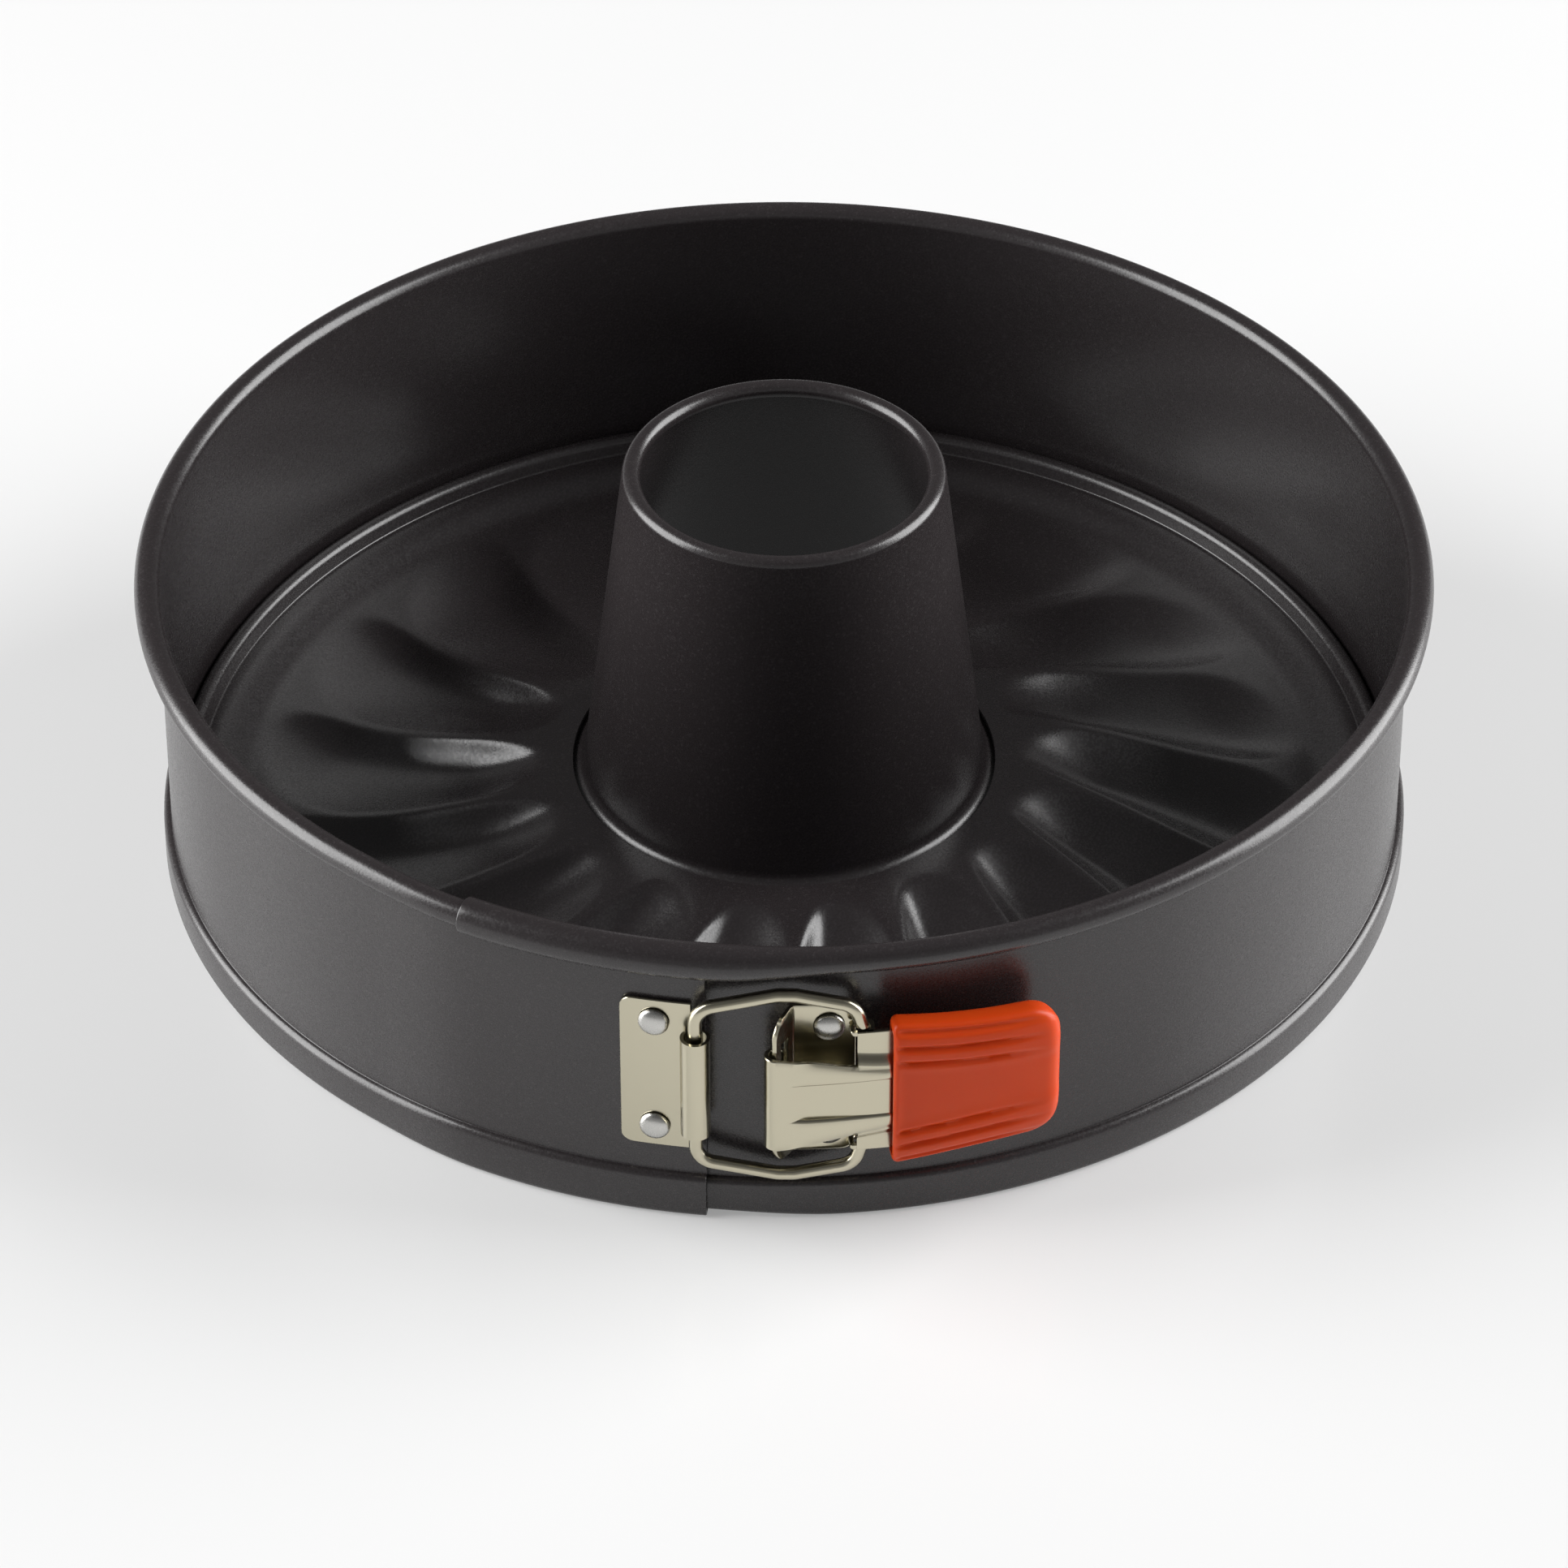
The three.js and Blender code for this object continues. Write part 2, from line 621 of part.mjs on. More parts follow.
// Cross-section of the grip: a rounded slab with ridges along its upper and lower edges, thinner at its ends
function gripLoop(distance) {
  const along = (distance - gripStart) / (gripEnd - gripStart);
  const fromEnd = Math.min(gripEnd - distance, gripEndRound) / gripEndRound;
  const fromStart = Math.min(distance - gripStart, 1) / 1;
  const round = Math.sqrt(1 - (1 - fromEnd) ** 2);
  const half = mix(gripStartHalfHeight, gripEndHalfHeight, along) - gripEndRound * 0.9 * (1 - round);
  const thick = (gripThickness / 2) * mix(0.45, 1, round) * mix(0.85, 1, fromStart);
  const middle = wallRadius + gripStandoff + gripFlare * along;
  const ridged = gripRidges * gripRidgePitch;
  return steps(360, 0, 36)
    .slice(0, -1)
    .map((angle) => {
      const turn = radians(angle);
      const up = Math.sign(Math.sin(turn)) * Math.abs(Math.sin(turn)) ** 0.8;
      const out = Math.sign(Math.cos(turn)) * Math.abs(Math.cos(turn)) ** 0.5;
      const fromEdge = half - Math.abs(half * up);
      const onRidges = out > 0 && fromEdge < ridged ? round : 0;
      const wave = (1 - Math.cos((2 * Math.PI * fromEdge) / gripRidgePitch)) / 2;
      const radius = middle + thick * out - gripRidgeDepth * onRidges * (1 - wave) * out;
      return around(radius, alongWall(distance), claspLevel + half * up);
    });
}

// Silicone sleeve with a pocket for the lever's tongue
function leverGrip() {
  const rounding = [0, 0.28, 0.6, 0.84, 0.98].map((share) => gripEnd - gripEndRound * (1 - share));
  const body = [gripStart, ...steps(gripStart + 1, gripEnd - gripEndRound, 4).slice(0, -1), ...rounding];
  const mouth = gripStart - 1;
  const pocketEnd = tongueEnd + 2 * seatGap;
  const room = leverSheet / 2 + seatGap;
  const pocket = [mouth, ...tongueStations, pocketEnd].map((distance) => {
    const high = tongueHalf(distance) + 2 * seatGap;
    const outer = leverRadius(distance, 0) + room;
    const inner = wingMid - room;
    const corners = [
      [inner, high],
      [outer, high],
      [outer, -high],
      [inner, -high],
    ];
    return corners.map(([radius, offset]) => around(radius, alongWall(distance), claspLevel + offset));
  });
  return cut(loft(body.map(gripLoop)), [loft(pocket)]);
}

// Domed rivet: head outside, shank through plate and wall, and a flat tail or a flush end inside
function rivet(distance, offset, headSeat, inside, tailed) {
  const dome = steps(0, 90, 3).map((angle) => {
    const turn = radians(angle);
    return [rivetHeadRadius * Math.sin(turn), headSeat + rivetHeadHeight * Math.cos(turn)];
  });
  const tail = [
    [rivetShankRadius, inside],
    [rivetTailRadius, inside],
    [rivetTailRadius, inside - rivetTailHeight],
    [0, inside - rivetTailHeight],
  ];
  const flush = [
    [rivetShankRadius, inside],
    [0, inside],
  ];
  const profile = [...dome, [rivetShankRadius, headSeat], ...(tailed ? tail : flush)].reverse();
  const solid = new THREE.LatheGeometry(profile.map(([x, y]) => new THREE.Vector2(x, y)), 12);
  solid.rotateX(Math.PI);
  solid.translate(0, 0, claspLevel + offset);
  solid.rotateZ(radians(alongWall(distance)));
  return fromSolid(toSolid(solid));
}

function plateRivet(offset) {
  const seat = plateMid + plateSheet / 2 + seatGap;
  return rivet(plateRivetAt, offset, seat, freeEndFace - bandSheet, false);
}

function bracketRivet(offset) {
  const seat = bracketMid + bracketSheet / 2 + seatGap;
  return rivet(bracketRivetAt, offset, seat, wallRadius - bandSheet - seatGap, true);
}

function piece(name, geometry, material) {
  const mesh = new THREE.Mesh(geometry, material);
  mesh.name = name;
  return mesh;
}

function group(name, ...children) {
  const holder = new THREE.Group();
  holder.name = name;
  holder.add(...children);
  return holder;
}

const base = group(
  'base',
  piece('base_plate', basePlate(), coated),
  piece('centre_tube', centreTube(), coated),
);
const bail = group('bail', piece('wire_bail', wireBail(), nickel));
const freeEnd = group(
  'free_end',
  piece('hinge_plate', hingePlate(), nickel),
  piece('hinge_plate_rivet_upper', plateRivet(rivetHalfSpacing), aluminium),
  piece('hinge_plate_rivet_lower', plateRivet(-rivetHalfSpacing), aluminium),
  bail,
);
const claspLever = group(
  'clasp_lever',
  piece('lever', lever(), nickel),
  piece('lever_grip', leverGrip(), silicone),
);
const ring = group(
  'ring',
  piece('ring_band', ringBand(), coated),
  piece('lever_bracket', leverBracket(), nickel),
  piece('bracket_rivet_upper', bracketRivet(rivetHalfSpacing), aluminium),
  piece('bracket_rivet_lower', bracketRivet(-rivetHalfSpacing), aluminium),
  freeEnd,
  claspLever,
);

export default group('ring_cake_pan', base, ring);
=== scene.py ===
# Springform ring cake pan: coated steel ring and fluted base, nickel clasp, orange silicone grip.
# Sizes are in millimetres until a mesh is made.
# The clasp is at the front (-Y); angles run from there to +X.

import bmesh
import bpy
import numpy as np
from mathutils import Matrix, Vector


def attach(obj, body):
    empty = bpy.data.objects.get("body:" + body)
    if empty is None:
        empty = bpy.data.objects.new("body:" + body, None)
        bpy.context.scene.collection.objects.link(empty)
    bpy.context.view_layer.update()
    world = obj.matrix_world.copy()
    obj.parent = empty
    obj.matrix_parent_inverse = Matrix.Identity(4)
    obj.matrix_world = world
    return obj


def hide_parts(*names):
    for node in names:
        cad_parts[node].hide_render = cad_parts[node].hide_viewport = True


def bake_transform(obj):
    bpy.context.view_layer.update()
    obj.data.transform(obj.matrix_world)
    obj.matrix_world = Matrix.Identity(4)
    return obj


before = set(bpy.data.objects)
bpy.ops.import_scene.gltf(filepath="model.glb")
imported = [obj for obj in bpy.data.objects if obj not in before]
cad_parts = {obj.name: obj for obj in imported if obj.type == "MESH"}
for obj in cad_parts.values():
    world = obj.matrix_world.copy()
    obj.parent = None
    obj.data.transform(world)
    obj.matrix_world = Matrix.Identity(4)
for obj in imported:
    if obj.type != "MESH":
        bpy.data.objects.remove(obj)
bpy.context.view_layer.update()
scene = bpy.context.scene
scene.view_settings.view_transform = "Standard"


# helpers

def linear(code):  # sRGB hex to linear: ((c + 0.055) / 1.055) ^ 2.4, or c / 12.92 near black
    c = np.array([int(code[i:i + 2], 16) for i in (1, 3, 5)]) / 255
    c = np.where(c <= 0.04045, c / 12.92, ((c + 0.055) / 1.055) ** 2.4)
    return (*c.tolist(), 1.0)


def perMetre(size):  # a pattern's scale from its size in millimetres
    return 1000 / size


def mix(a, b, t):  # from a at 0 to b at 1
    return a + (b - a) * t


def smooth(x, low, high):  # 3t^2 - 2t^3 between low and high
    t = np.clip((x - low) / (high - low), 0, 1)
    return t * t * (3 - 2 * t)


def around(radius, degrees, level):  # x = r sin(angle), y = -r cos(angle), z = level
    r, a, z = np.broadcast_arrays(radius, np.radians(degrees), level)
    return np.stack([r * np.sin(a), -r * np.cos(a), z], axis=-1)


def arc(centreX, centreY, radius, start, stop, count):  # points on a circle, one row for each centre
    a = np.radians(np.linspace(start, stop, count))
    return centreX + radius * np.cos(a), centreY + radius * np.sin(a)


def rounded(line, times):  # cuts every corner of a line at a quarter and three quarters, again and again
    for _ in range(times):
        near = line[:-1] * 0.75 + line[1:] * 0.25
        far = line[:-1] * 0.25 + line[1:] * 0.75
        middle = np.stack([near, far], axis=1).reshape(-1, line.shape[1])
        line = np.concatenate([line[:1], middle[1:-1], line[-1:]])
    return line


def tubeFaces(rows, cols):  # four-sided faces of a grid whose columns close into a ring
    i = np.arange(rows - 1)[:, None] * cols
    j = np.arange(cols)[None, :]
    right = (j + 1) % cols
    return np.stack([i + j, i + cols + j, i + cols + right, i + right], -1).reshape(-1, 4)


# A sheet: its two faces lie half a thickness to each side of the middle, along the cross product of the
# row step and the column step. keep says which cells exist, and every open edge gets a rim.
def sheetMesh(middle, half, keep=None, wrap=False):
    rows, cols = middle.shape[:2]
    rowStep = np.roll(middle, -1, 0) - np.roll(middle, 1, 0) if wrap else np.gradient(middle, axis=0)
    normal = np.cross(rowStep, np.gradient(middle, axis=1))
    normal /= np.linalg.norm(normal, axis=-1, keepdims=True)
    offset = normal * np.broadcast_to(half, (rows, cols))[..., None]
    points = np.concatenate([middle + offset, middle - offset]).reshape(-1, 3)
    if keep is None:
        keep = np.ones((rows if wrap else rows - 1, cols - 1), bool)

    def corners(cells, *places):  # point numbers: steps to the next row, the next column, the other face
        i, j = np.nonzero(cells)
        return np.stack([(i + a) % rows * cols + j + b + c * rows * cols for a, b, c in places], -1)

    sideways = np.pad(keep, ((0, 0), (1, 1)))
    before, after = sideways[:, :-1], sideways[:, 1:]
    lengthways = np.concatenate([keep[-1:], keep]) if wrap else np.pad(keep, ((1, 1), (0, 0)))
    above, under = lengthways[:-1], lengthways[1:]
    faces = np.concatenate([
        corners(keep, (0, 0, 0), (1, 0, 0), (1, 1, 0), (0, 1, 0)),
        corners(keep, (0, 0, 1), (0, 1, 1), (1, 1, 1), (1, 0, 1)),
        corners(after & ~before, (1, 0, 0), (0, 0, 0), (0, 0, 1), (1, 0, 1)),
        corners(before & ~after, (0, 0, 0), (1, 0, 0), (1, 0, 1), (0, 0, 1)),
        corners(under & ~above, (0, 0, 0), (0, 1, 0), (0, 1, 1), (0, 0, 1)),
        corners(above & ~under, (0, 1, 0), (0, 0, 0), (0, 0, 1), (0, 1, 1)),
    ])
    return points, faces


# One piece from its parts: points closer than 0.002 mm become one, and edges bent further than sharp show.
def makePiece(name, parts, material, body, nodes, sharp=35):
    points, faces, count = [], [], 0
    for partPoints, partFaces in parts:
        points.append(partPoints.reshape(-1, 3))
        faces.append(partFaces + count)
        count += len(points[-1])
    used, index = np.unique(np.concatenate(faces), return_inverse=True)  # leaves out points of no face
    data = bpy.data.meshes.new(name)
    data.from_pydata((np.concatenate(points)[used] * 0.001).tolist(), [], index.reshape(-1, 4).tolist())
    weld = bmesh.new()
    weld.from_mesh(data)
    bmesh.ops.remove_doubles(weld, verts=weld.verts, dist=2e-6)
    weld.to_mesh(data)
    weld.free()
    data.shade_smooth()
    data.set_sharp_from_angle(angle=np.radians(sharp))
    data.materials.append(material)
    piece = bpy.data.objects.new(name, data)
    scene.collection.objects.link(piece)
    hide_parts(*nodes)
    if body:
        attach(piece, body)
    print("piece %s: %d faces" % (name, len(data.polygons)))
    return piece


def addNode(tree, kind, settings=(), links=()):  # pairs of a socket or setting and its value or output
    node = tree.nodes.new(kind)
    for name, value in settings:
        if isinstance(name, int) or name in node.inputs:
            node.inputs[name].default_value = value
        else:
            setattr(node, name, value)
    for name, output in links:
        tree.links.new(output, node.inputs[name])
    return node


def newMaterial(name):  # a material with an empty node tree
    material = bpy.data.materials.new(name)
    material.use_nodes = True
    tree = material.node_tree
    tree.nodes.clear()
    return material, tree


# materials; each bump is its strength and its height in metres

# Sprayed non-stick coating on carbon steel: charcoal, satin, with mica flecks that sparkle. The real
# flecks are about 0.1 mm; they are drawn at 0.4 mm so that they show, and so is the spray's orange peel.
def coatedSteel():
    look = dict(colour="#292526", fleck="#343031", fleckSize=0.4, fleckShare=0.14, sparkle=0.09,
                cloud=30.0, peel=0.4, bump=(0.12, 0.0002), roughness=(0.2, 0.24), gloss=0.62)
    material, tree = newMaterial("coatedSteel")
    place = addNode(tree, "ShaderNodeTexCoord").outputs["Object"]
    cells = addNode(tree, "ShaderNodeTexVoronoi", [("Scale", perMetre(look["fleckSize"]))],
                    [("Vector", place)])
    grey = addNode(tree, "ShaderNodeSeparateColor", (), [("Color", cells.outputs["Color"])])
    flecks = addNode(tree, "ShaderNodeMapRange",
                     [("From Min", 1 - look["fleckShare"]), ("From Max", 1.0)],
                     [("Value", grey.outputs["Red"])])
    colour = addNode(tree, "ShaderNodeMix",
                     [("data_type", "RGBA"), (6, linear(look["colour"])), (7, linear(look["fleck"]))],
                     [("Factor", flecks.outputs["Result"])])
    cloud = addNode(tree, "ShaderNodeTexNoise", [("Scale", perMetre(look["cloud"])), ("Detail", 3.0)],
                    [("Vector", place)])
    roughness = addNode(tree, "ShaderNodeMapRange",
                        [("To Min", look["roughness"][0]), ("To Max", look["roughness"][1])],
                        [("Value", cloud.outputs["Fac"])])
    roughness = addNode(tree, "ShaderNodeMath", [("operation", "MULTIPLY_ADD"), (1, look["sparkle"])],
                        [(0, grey.outputs["Green"]), (2, roughness.outputs["Result"])])
    peel = addNode(tree, "ShaderNodeTexNoise", [("Scale", perMetre(look["peel"])), ("Detail", 2.0)],
                   [("Vector", place)])
    bump = addNode(tree, "ShaderNodeBump", [("Strength", look["bump"][0]), ("Distance", look["bump"][1])],
                   [("Height", peel.outputs["Fac"])])
    shader = addNode(tree, "ShaderNodeBsdfPrincipled",
                     [("IOR", 1.5), ("Specular IOR Level", look["gloss"])],
                     [("Base Color", colour.outputs[2]), ("Roughness", roughness.outputs["Value"]),
                      ("Normal", bump.outputs["Normal"])])
    addNode(tree, "ShaderNodeOutputMaterial", (), [("Surface", shader.outputs["BSDF"])])
    return material


def nickelPlate():  # nickel on pressed steel: bright, a little warm, faintly hazy from barrel polishing
    look = dict(colour="#c1bba6", haze=9.0, roughness=(0.17, 0.25), ripple=6.0, bump=(0.05, 0.0005))
    material, tree = newMaterial("nickelPlate")
    place = addNode(tree, "ShaderNodeTexCoord").outputs["Object"]
    haze = addNode(tree, "ShaderNodeTexNoise", [("Scale", perMetre(look["haze"])), ("Detail", 4.0)],
                   [("Vector", place)])
    roughness = addNode(tree, "ShaderNodeMapRange",
                        [("To Min", look["roughness"][0]), ("To Max", look["roughness"][1])],
                        [("Value", haze.outputs["Fac"])])
    ripple = addNode(tree, "ShaderNodeTexNoise", [("Scale", perMetre(look["ripple"])), ("Detail", 1.0)],
                     [("Vector", place)])
    bump = addNode(tree, "ShaderNodeBump", [("Strength", look["bump"][0]), ("Distance", look["bump"][1])],
                   [("Height", ripple.outputs["Fac"])])
    shader = addNode(tree, "ShaderNodeBsdfPrincipled",
                     [("Base Color", linear(look["colour"])), ("Metallic", 1.0)],
                     [("Roughness", roughness.outputs["Result"]), ("Normal", bump.outputs["Normal"])])
    addNode(tree, "ShaderNodeOutputMaterial", (), [("Surface", shader.outputs["BSDF"])])
    return material


def satinAluminium():  # cold-headed aluminium rivet: greyer than the nickel, with a finely scuffed dome
    look = dict(colour="#c4c3bf", scuff=0.6, roughness=(0.24, 0.32), bump=(0.02, 0.0002))
    material, tree = newMaterial("satinAluminium")
    place = addNode(tree, "ShaderNodeTexCoord").outputs["Object"]
    scuff = addNode(tree, "ShaderNodeTexNoise", [("Scale", perMetre(look["scuff"])), ("Detail", 3.0)],
                    [("Vector", place)])
    roughness = addNode(tree, "ShaderNodeMapRange",
                        [("To Min", look["roughness"][0]), ("To Max", look["roughness"][1])],
                        [("Value", scuff.outputs["Fac"])])
    bump = addNode(tree, "ShaderNodeBump", [("Strength", look["bump"][0]), ("Distance", look["bump"][1])],
                   [("Height", scuff.outputs["Fac"])])
    shader = addNode(tree, "ShaderNodeBsdfPrincipled",
                     [("Base Color", linear(look["colour"])), ("Metallic", 1.0)],
                     [("Roughness", roughness.outputs["Result"]), ("Normal", bump.outputs["Normal"])])
    addNode(tree, "ShaderNodeOutputMaterial", (), [("Surface", shader.outputs["BSDF"])])
    return material


def orangeSilicone():  # moulded silicone rubber: satin skin, light bleeds through its thin edges
    look = dict(colour="#d4460f", deep="#c93e0b", cloud=14.0, skin=0.7, bump=(0.05, 0.0002),
                roughness=0.36, gloss=0.35, bleed=0.25, bleedRadius=(1.0, 0.35, 0.15), bleedScale=0.002)
    material, tree = newMaterial("orangeSilicone")
    place = addNode(tree, "ShaderNodeTexCoord").outputs["Object"]
    cloud = addNode(tree, "ShaderNodeTexNoise", [("Scale", perMetre(look["cloud"])), ("Detail", 2.0)],
                    [("Vector", place)])
    colour = addNode(tree, "ShaderNodeMix",
                     [("data_type", "RGBA"), (6, linear(look["deep"])), (7, linear(look["colour"]))],
                     [("Factor", cloud.outputs["Fac"])])
    skin = addNode(tree, "ShaderNodeTexNoise", [("Scale", perMetre(look["skin"])), ("Detail", 2.0)],
                   [("Vector", place)])
    bump = addNode(tree, "ShaderNodeBump", [("Strength", look["bump"][0]), ("Distance", look["bump"][1])],
                   [("Height", skin.outputs["Fac"])])
    shader = addNode(tree, "ShaderNodeBsdfPrincipled",
                     [("Roughness", look["roughness"]), ("IOR", 1.41),
                      ("Specular IOR Level", look["gloss"]), ("Subsurface Weight", look["bleed"]),
                      ("Subsurface Radius", look["bleedRadius"]),
                      ("Subsurface Scale", look["bleedScale"])],
                     [("Base Color", colour.outputs[2]), ("Normal", bump.outputs["Normal"])])
    addNode(tree, "ShaderNodeOutputMaterial", (), [("Surface", shader.outputs["BSDF"])])
    return material


coated = coatedSteel()
nickel = nickelPlate()
aluminium = satinAluminium()
silicone = orangeSilicone()
print("materials made")


# side ring

band = dict(sheet=0.7, wall=131.0, height=69.4, curl=2.75, curlStart=172, curlEnd=-110, bulge=1.6,
            bead=7.75, roundOver=1.4, tilt=80, fillet=1.2, filletStart=-78, lip=3.4, coveredEnd=-27.9,
            freeEnd=-6.7, joggle=12.0, gap=0.3, bevel=0.15, endRound=0.45, thinnest=0.02, step=1.0,
            springRows=174)
nest = band["sheet"] + band["gap"]


# Middle of the strip for a row of angles: lip, bead, wall and rolled rim, from straight lines and arcs.
# The free end steps out over the covered end by one nesting step, and the covered end's rim rolls over
# the free end's by the same step.
def bandMiddle(angles):
    angles = angles[:, None]
    outside = smooth(angles, 360 + band["coveredEnd"] - band["joggle"], 360 + band["coveredEnd"])
    covered = 1 - smooth(angles, band["freeEnd"], band["freeEnd"] + band["joggle"])
    wall = band["wall"] - band["sheet"] / 2 + nest * outside
    bead = wall + band["bulge"]
    lipLevel = band["sheet"] / 2 + nest * covered
    beadTop = band["bead"] + nest * outside
    curl = band["curl"] - band["sheet"] / 2 + nest * covered
    curlLevel = band["height"] - band["curl"]
    along = np.array([0, 0.06, 1 / 3, 2 / 3, 0.94, 1])[None, :]  # closer near both edges, for the bevel
    fillet = band["fillet"]
    lip = mix(bead - band["lip"], bead - fillet, along), lipLevel + 0 * along
    corner = arc(bead - fillet, lipLevel + fillet, fillet, band["filletStart"], 0, 6)
    over = arc(bead - band["roundOver"], beadTop, band["roundOver"], 0, band["tilt"], 10)
    hollow = band["bulge"] / (1 - np.cos(np.radians(band["tilt"]))) - band["roundOver"]
    wallFoot = beadTop + (band["roundOver"] + hollow) * np.sin(np.radians(band["tilt"]))
    into = arc(wall + hollow, wallFoot, hollow, 180 + band["tilt"], 180, 8)
    up = np.linspace(0, 1, 10)[None, 1:]
    side = wall + 0 * up, mix(wallFoot, curlLevel, up)
    roll = arc(wall + curl, curlLevel, curl, band["curlStart"], band["curlEnd"], 34)
    radius = np.concatenate([part[0] for part in (lip, corner, over, into, side, roll)], axis=1)
    level = np.concatenate([part[1] for part in (lip, corner, over, into, side, roll)], axis=1)
    return around(radius, angles, level)


def bandHalf(middle):  # half the sheet's thickness, thinner by a bevel along both edges of the strip
    half = np.full(middle.shape[:2], band["sheet"] / 2)
    half[:, [0, -1]] -= band["bevel"]
    return half


quarter = np.radians(np.arange(0, 91, 18))  # the covered end's edge is rounded
endRound = band["sheet"] * band["endRound"]
endAngles = band["coveredEnd"] + np.degrees(endRound * (1 - np.cos(quarter)) / band["wall"])
fixedAngles = np.arange(band["coveredEnd"] + band["step"], 180, band["step"])
fixedMiddle = bandMiddle(np.concatenate([endAngles, fixedAngles, [180]]))
fixedHalf = bandHalf(fixedMiddle)
fixedHalf[:len(quarter)] -= endRound * (1 - np.sin(quarter))[:, None]
fixedHalf = np.maximum(fixedHalf, band["thinnest"])
makePiece("ring_band_fixed", [sheetMesh(fixedMiddle, fixedHalf)],
          coated, "ring", ["ring_band"])
springAngles = np.linspace(180, 360 + band["freeEnd"], band["springRows"])
beforeEnd = springAngles[-1] - np.degrees(band["bevel"] / band["wall"])
springMiddle = bandMiddle(np.concatenate([springAngles[:-1], [beforeEnd], springAngles[-1:]]))
springHalf = bandHalf(springMiddle)
springHalf[-1] -= band["bevel"]
springBand = makePiece("ring_band_sprung", [sheetMesh(springMiddle, springHalf)],
                       coated, None, ["ring_band"])
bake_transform(springBand)


# fluted base

base = dict(sheet=0.8, edgeGap=0.6, beadHalf=2.3, beadTop=13.8, slope=2.7, floor=10.3, land=15.8,
            landWidth=6.0, riser=72, riserFillet=0.5, beadRound=1.9, beadIn=1.5, beadFall=15,
            flatStart=0.5, footTurn=0.2, bevel=0.15, flutes=18, depth=(4.8, 2.6), lowest=0.31, mouth=17.0,
            tail=22.0, margin=10.3, ridge=(2.7, 1.5), angle=4.5, lean=11.6, dish=6.8, dishReach=50.0,
            bluntness=2.3, hollowness=1.6, softening=2, columns=26, crowding=0.55, spacing=1.2,
            holeStep=1.0)
tube = dict(sheet=0.8, top=90.7, topRadius=33.75, footRadius=42.6, footFillet=3.2, curl=1.9, curlEnd=240,
            flangeMargin=1.2, flangeStep=1.5, seam=0.8, bevel=0.15, turnStep=2.5)
legRadius = band["wall"] - band["sheet"] - base["edgeGap"] - base["sheet"] / 2
beadRadius = legRadius - base["beadHalf"]
floorRadius = beadRadius - base["slope"]
fluteEnd = floorRadius - base["margin"]
holeRadius = tube["footRadius"] + tube["footFillet"] - tube["seam"]
landRadius = holeRadius + base["landWidth"]


# Height of the pressed floor. A dish falls from the land in an S and climbs again to the floor. Each flute
# is a scoop in it, as deep as 1 - d^hollowness. d^bluntness is the sum of three shares, each to that
# power: the distance from the scoop's lowest line over the width on that side, and the distances into its
# head and its outer end. The ridges between the scoops thin outwards.
def fluteLevel(radius, phase):
    along = np.clip((radius - landRadius) / (fluteEnd - landRadius), 0, 1)
    fall = smooth(radius, landRadius - base["landWidth"] / 2, landRadius + base["dishReach"])
    crest = mix(base["land"], base["dish"], fall)
    crest = mix(crest, base["floor"], smooth(radius, fluteEnd, floorRadius))
    halfPitch = np.pi * radius / base["flutes"]
    lowest = base["lowest"]
    aside = np.where(phase < lowest, (lowest - phase) / lowest, (phase - lowest) / (1 - lowest))
    aside = aside * halfPitch / (halfPitch - mix(*base["ridge"], along) / 2)
    ahead = np.maximum(landRadius + base["mouth"] - radius, 0) / base["mouth"]
    behind = np.maximum(radius - fluteEnd + base["tail"], 0) / base["tail"]
    blunt = base["bluntness"]
    shares = aside ** blunt + ahead ** blunt + behind ** blunt
    rise = np.minimum(shares, 1) ** (base["hollowness"] / blunt)
    level = crest - mix(*base["depth"], along) * (1 - rise)
    for _ in range(base["softening"]):  # rounds the ridges' edges
        level = (np.roll(level, 1, 0) + 2 * level + np.roll(level, -1, 0)) / 4
        level[:, 1:-1] = (level[:, :-2] + 2 * level[:, 1:-1] + level[:, 2:]) / 4
    return level - base["sheet"] / 2


# Middle of the base's edge: floor, hollow fillet, steep riser, rounded bead, and down beside the ring's
# wall to a foot in its groove.
def baseEdge():
    half = base["sheet"] / 2
    foot = band["sheet"] + nest + band["gap"] + half
    footRadius = band["wall"] - band["sheet"] + band["bulge"] - base["edgeGap"]
    top = legRadius - base["beadIn"], base["beadTop"] - base["beadRound"]
    bead = np.stack(arc(*top, base["beadRound"] - half, 90 + base["riser"], base["beadFall"], 14), -1)
    lean = np.radians(base["riser"])
    toFloor = top[1] + base["beadRound"] * np.cos(lean) - base["floor"]
    corner = top[0] - base["beadRound"] * np.sin(lean) - toFloor / np.tan(lean)
    fillet = base["riserFillet"]
    hollow = np.stack(arc(corner - fillet * np.tan(lean / 2), base["floor"] + fillet, fillet + half,
                          -90, base["riser"] - 90, 8), -1)
    flat = np.linspace(floorRadius + base["flatStart"], hollow[0, 0], 3)[:-1]
    flat = np.stack([flat, np.full(len(flat), base["floor"] - half)], -1)
    down = np.array([bead[-1], [legRadius, top[1] - base["beadRound"] * 2],
                     [legRadius, foot + band["fillet"]], [legRadius + base["footTurn"], foot],
                     [footRadius, foot]])
    return np.concatenate([flat, hollow, bead[:-1], rounded(down, 2)])


def fluteTurn(radius):  # the ridges lean back evenly with the radius
    return -base["lean"] * (radius - landRadius) / (fluteEnd - landRadius)


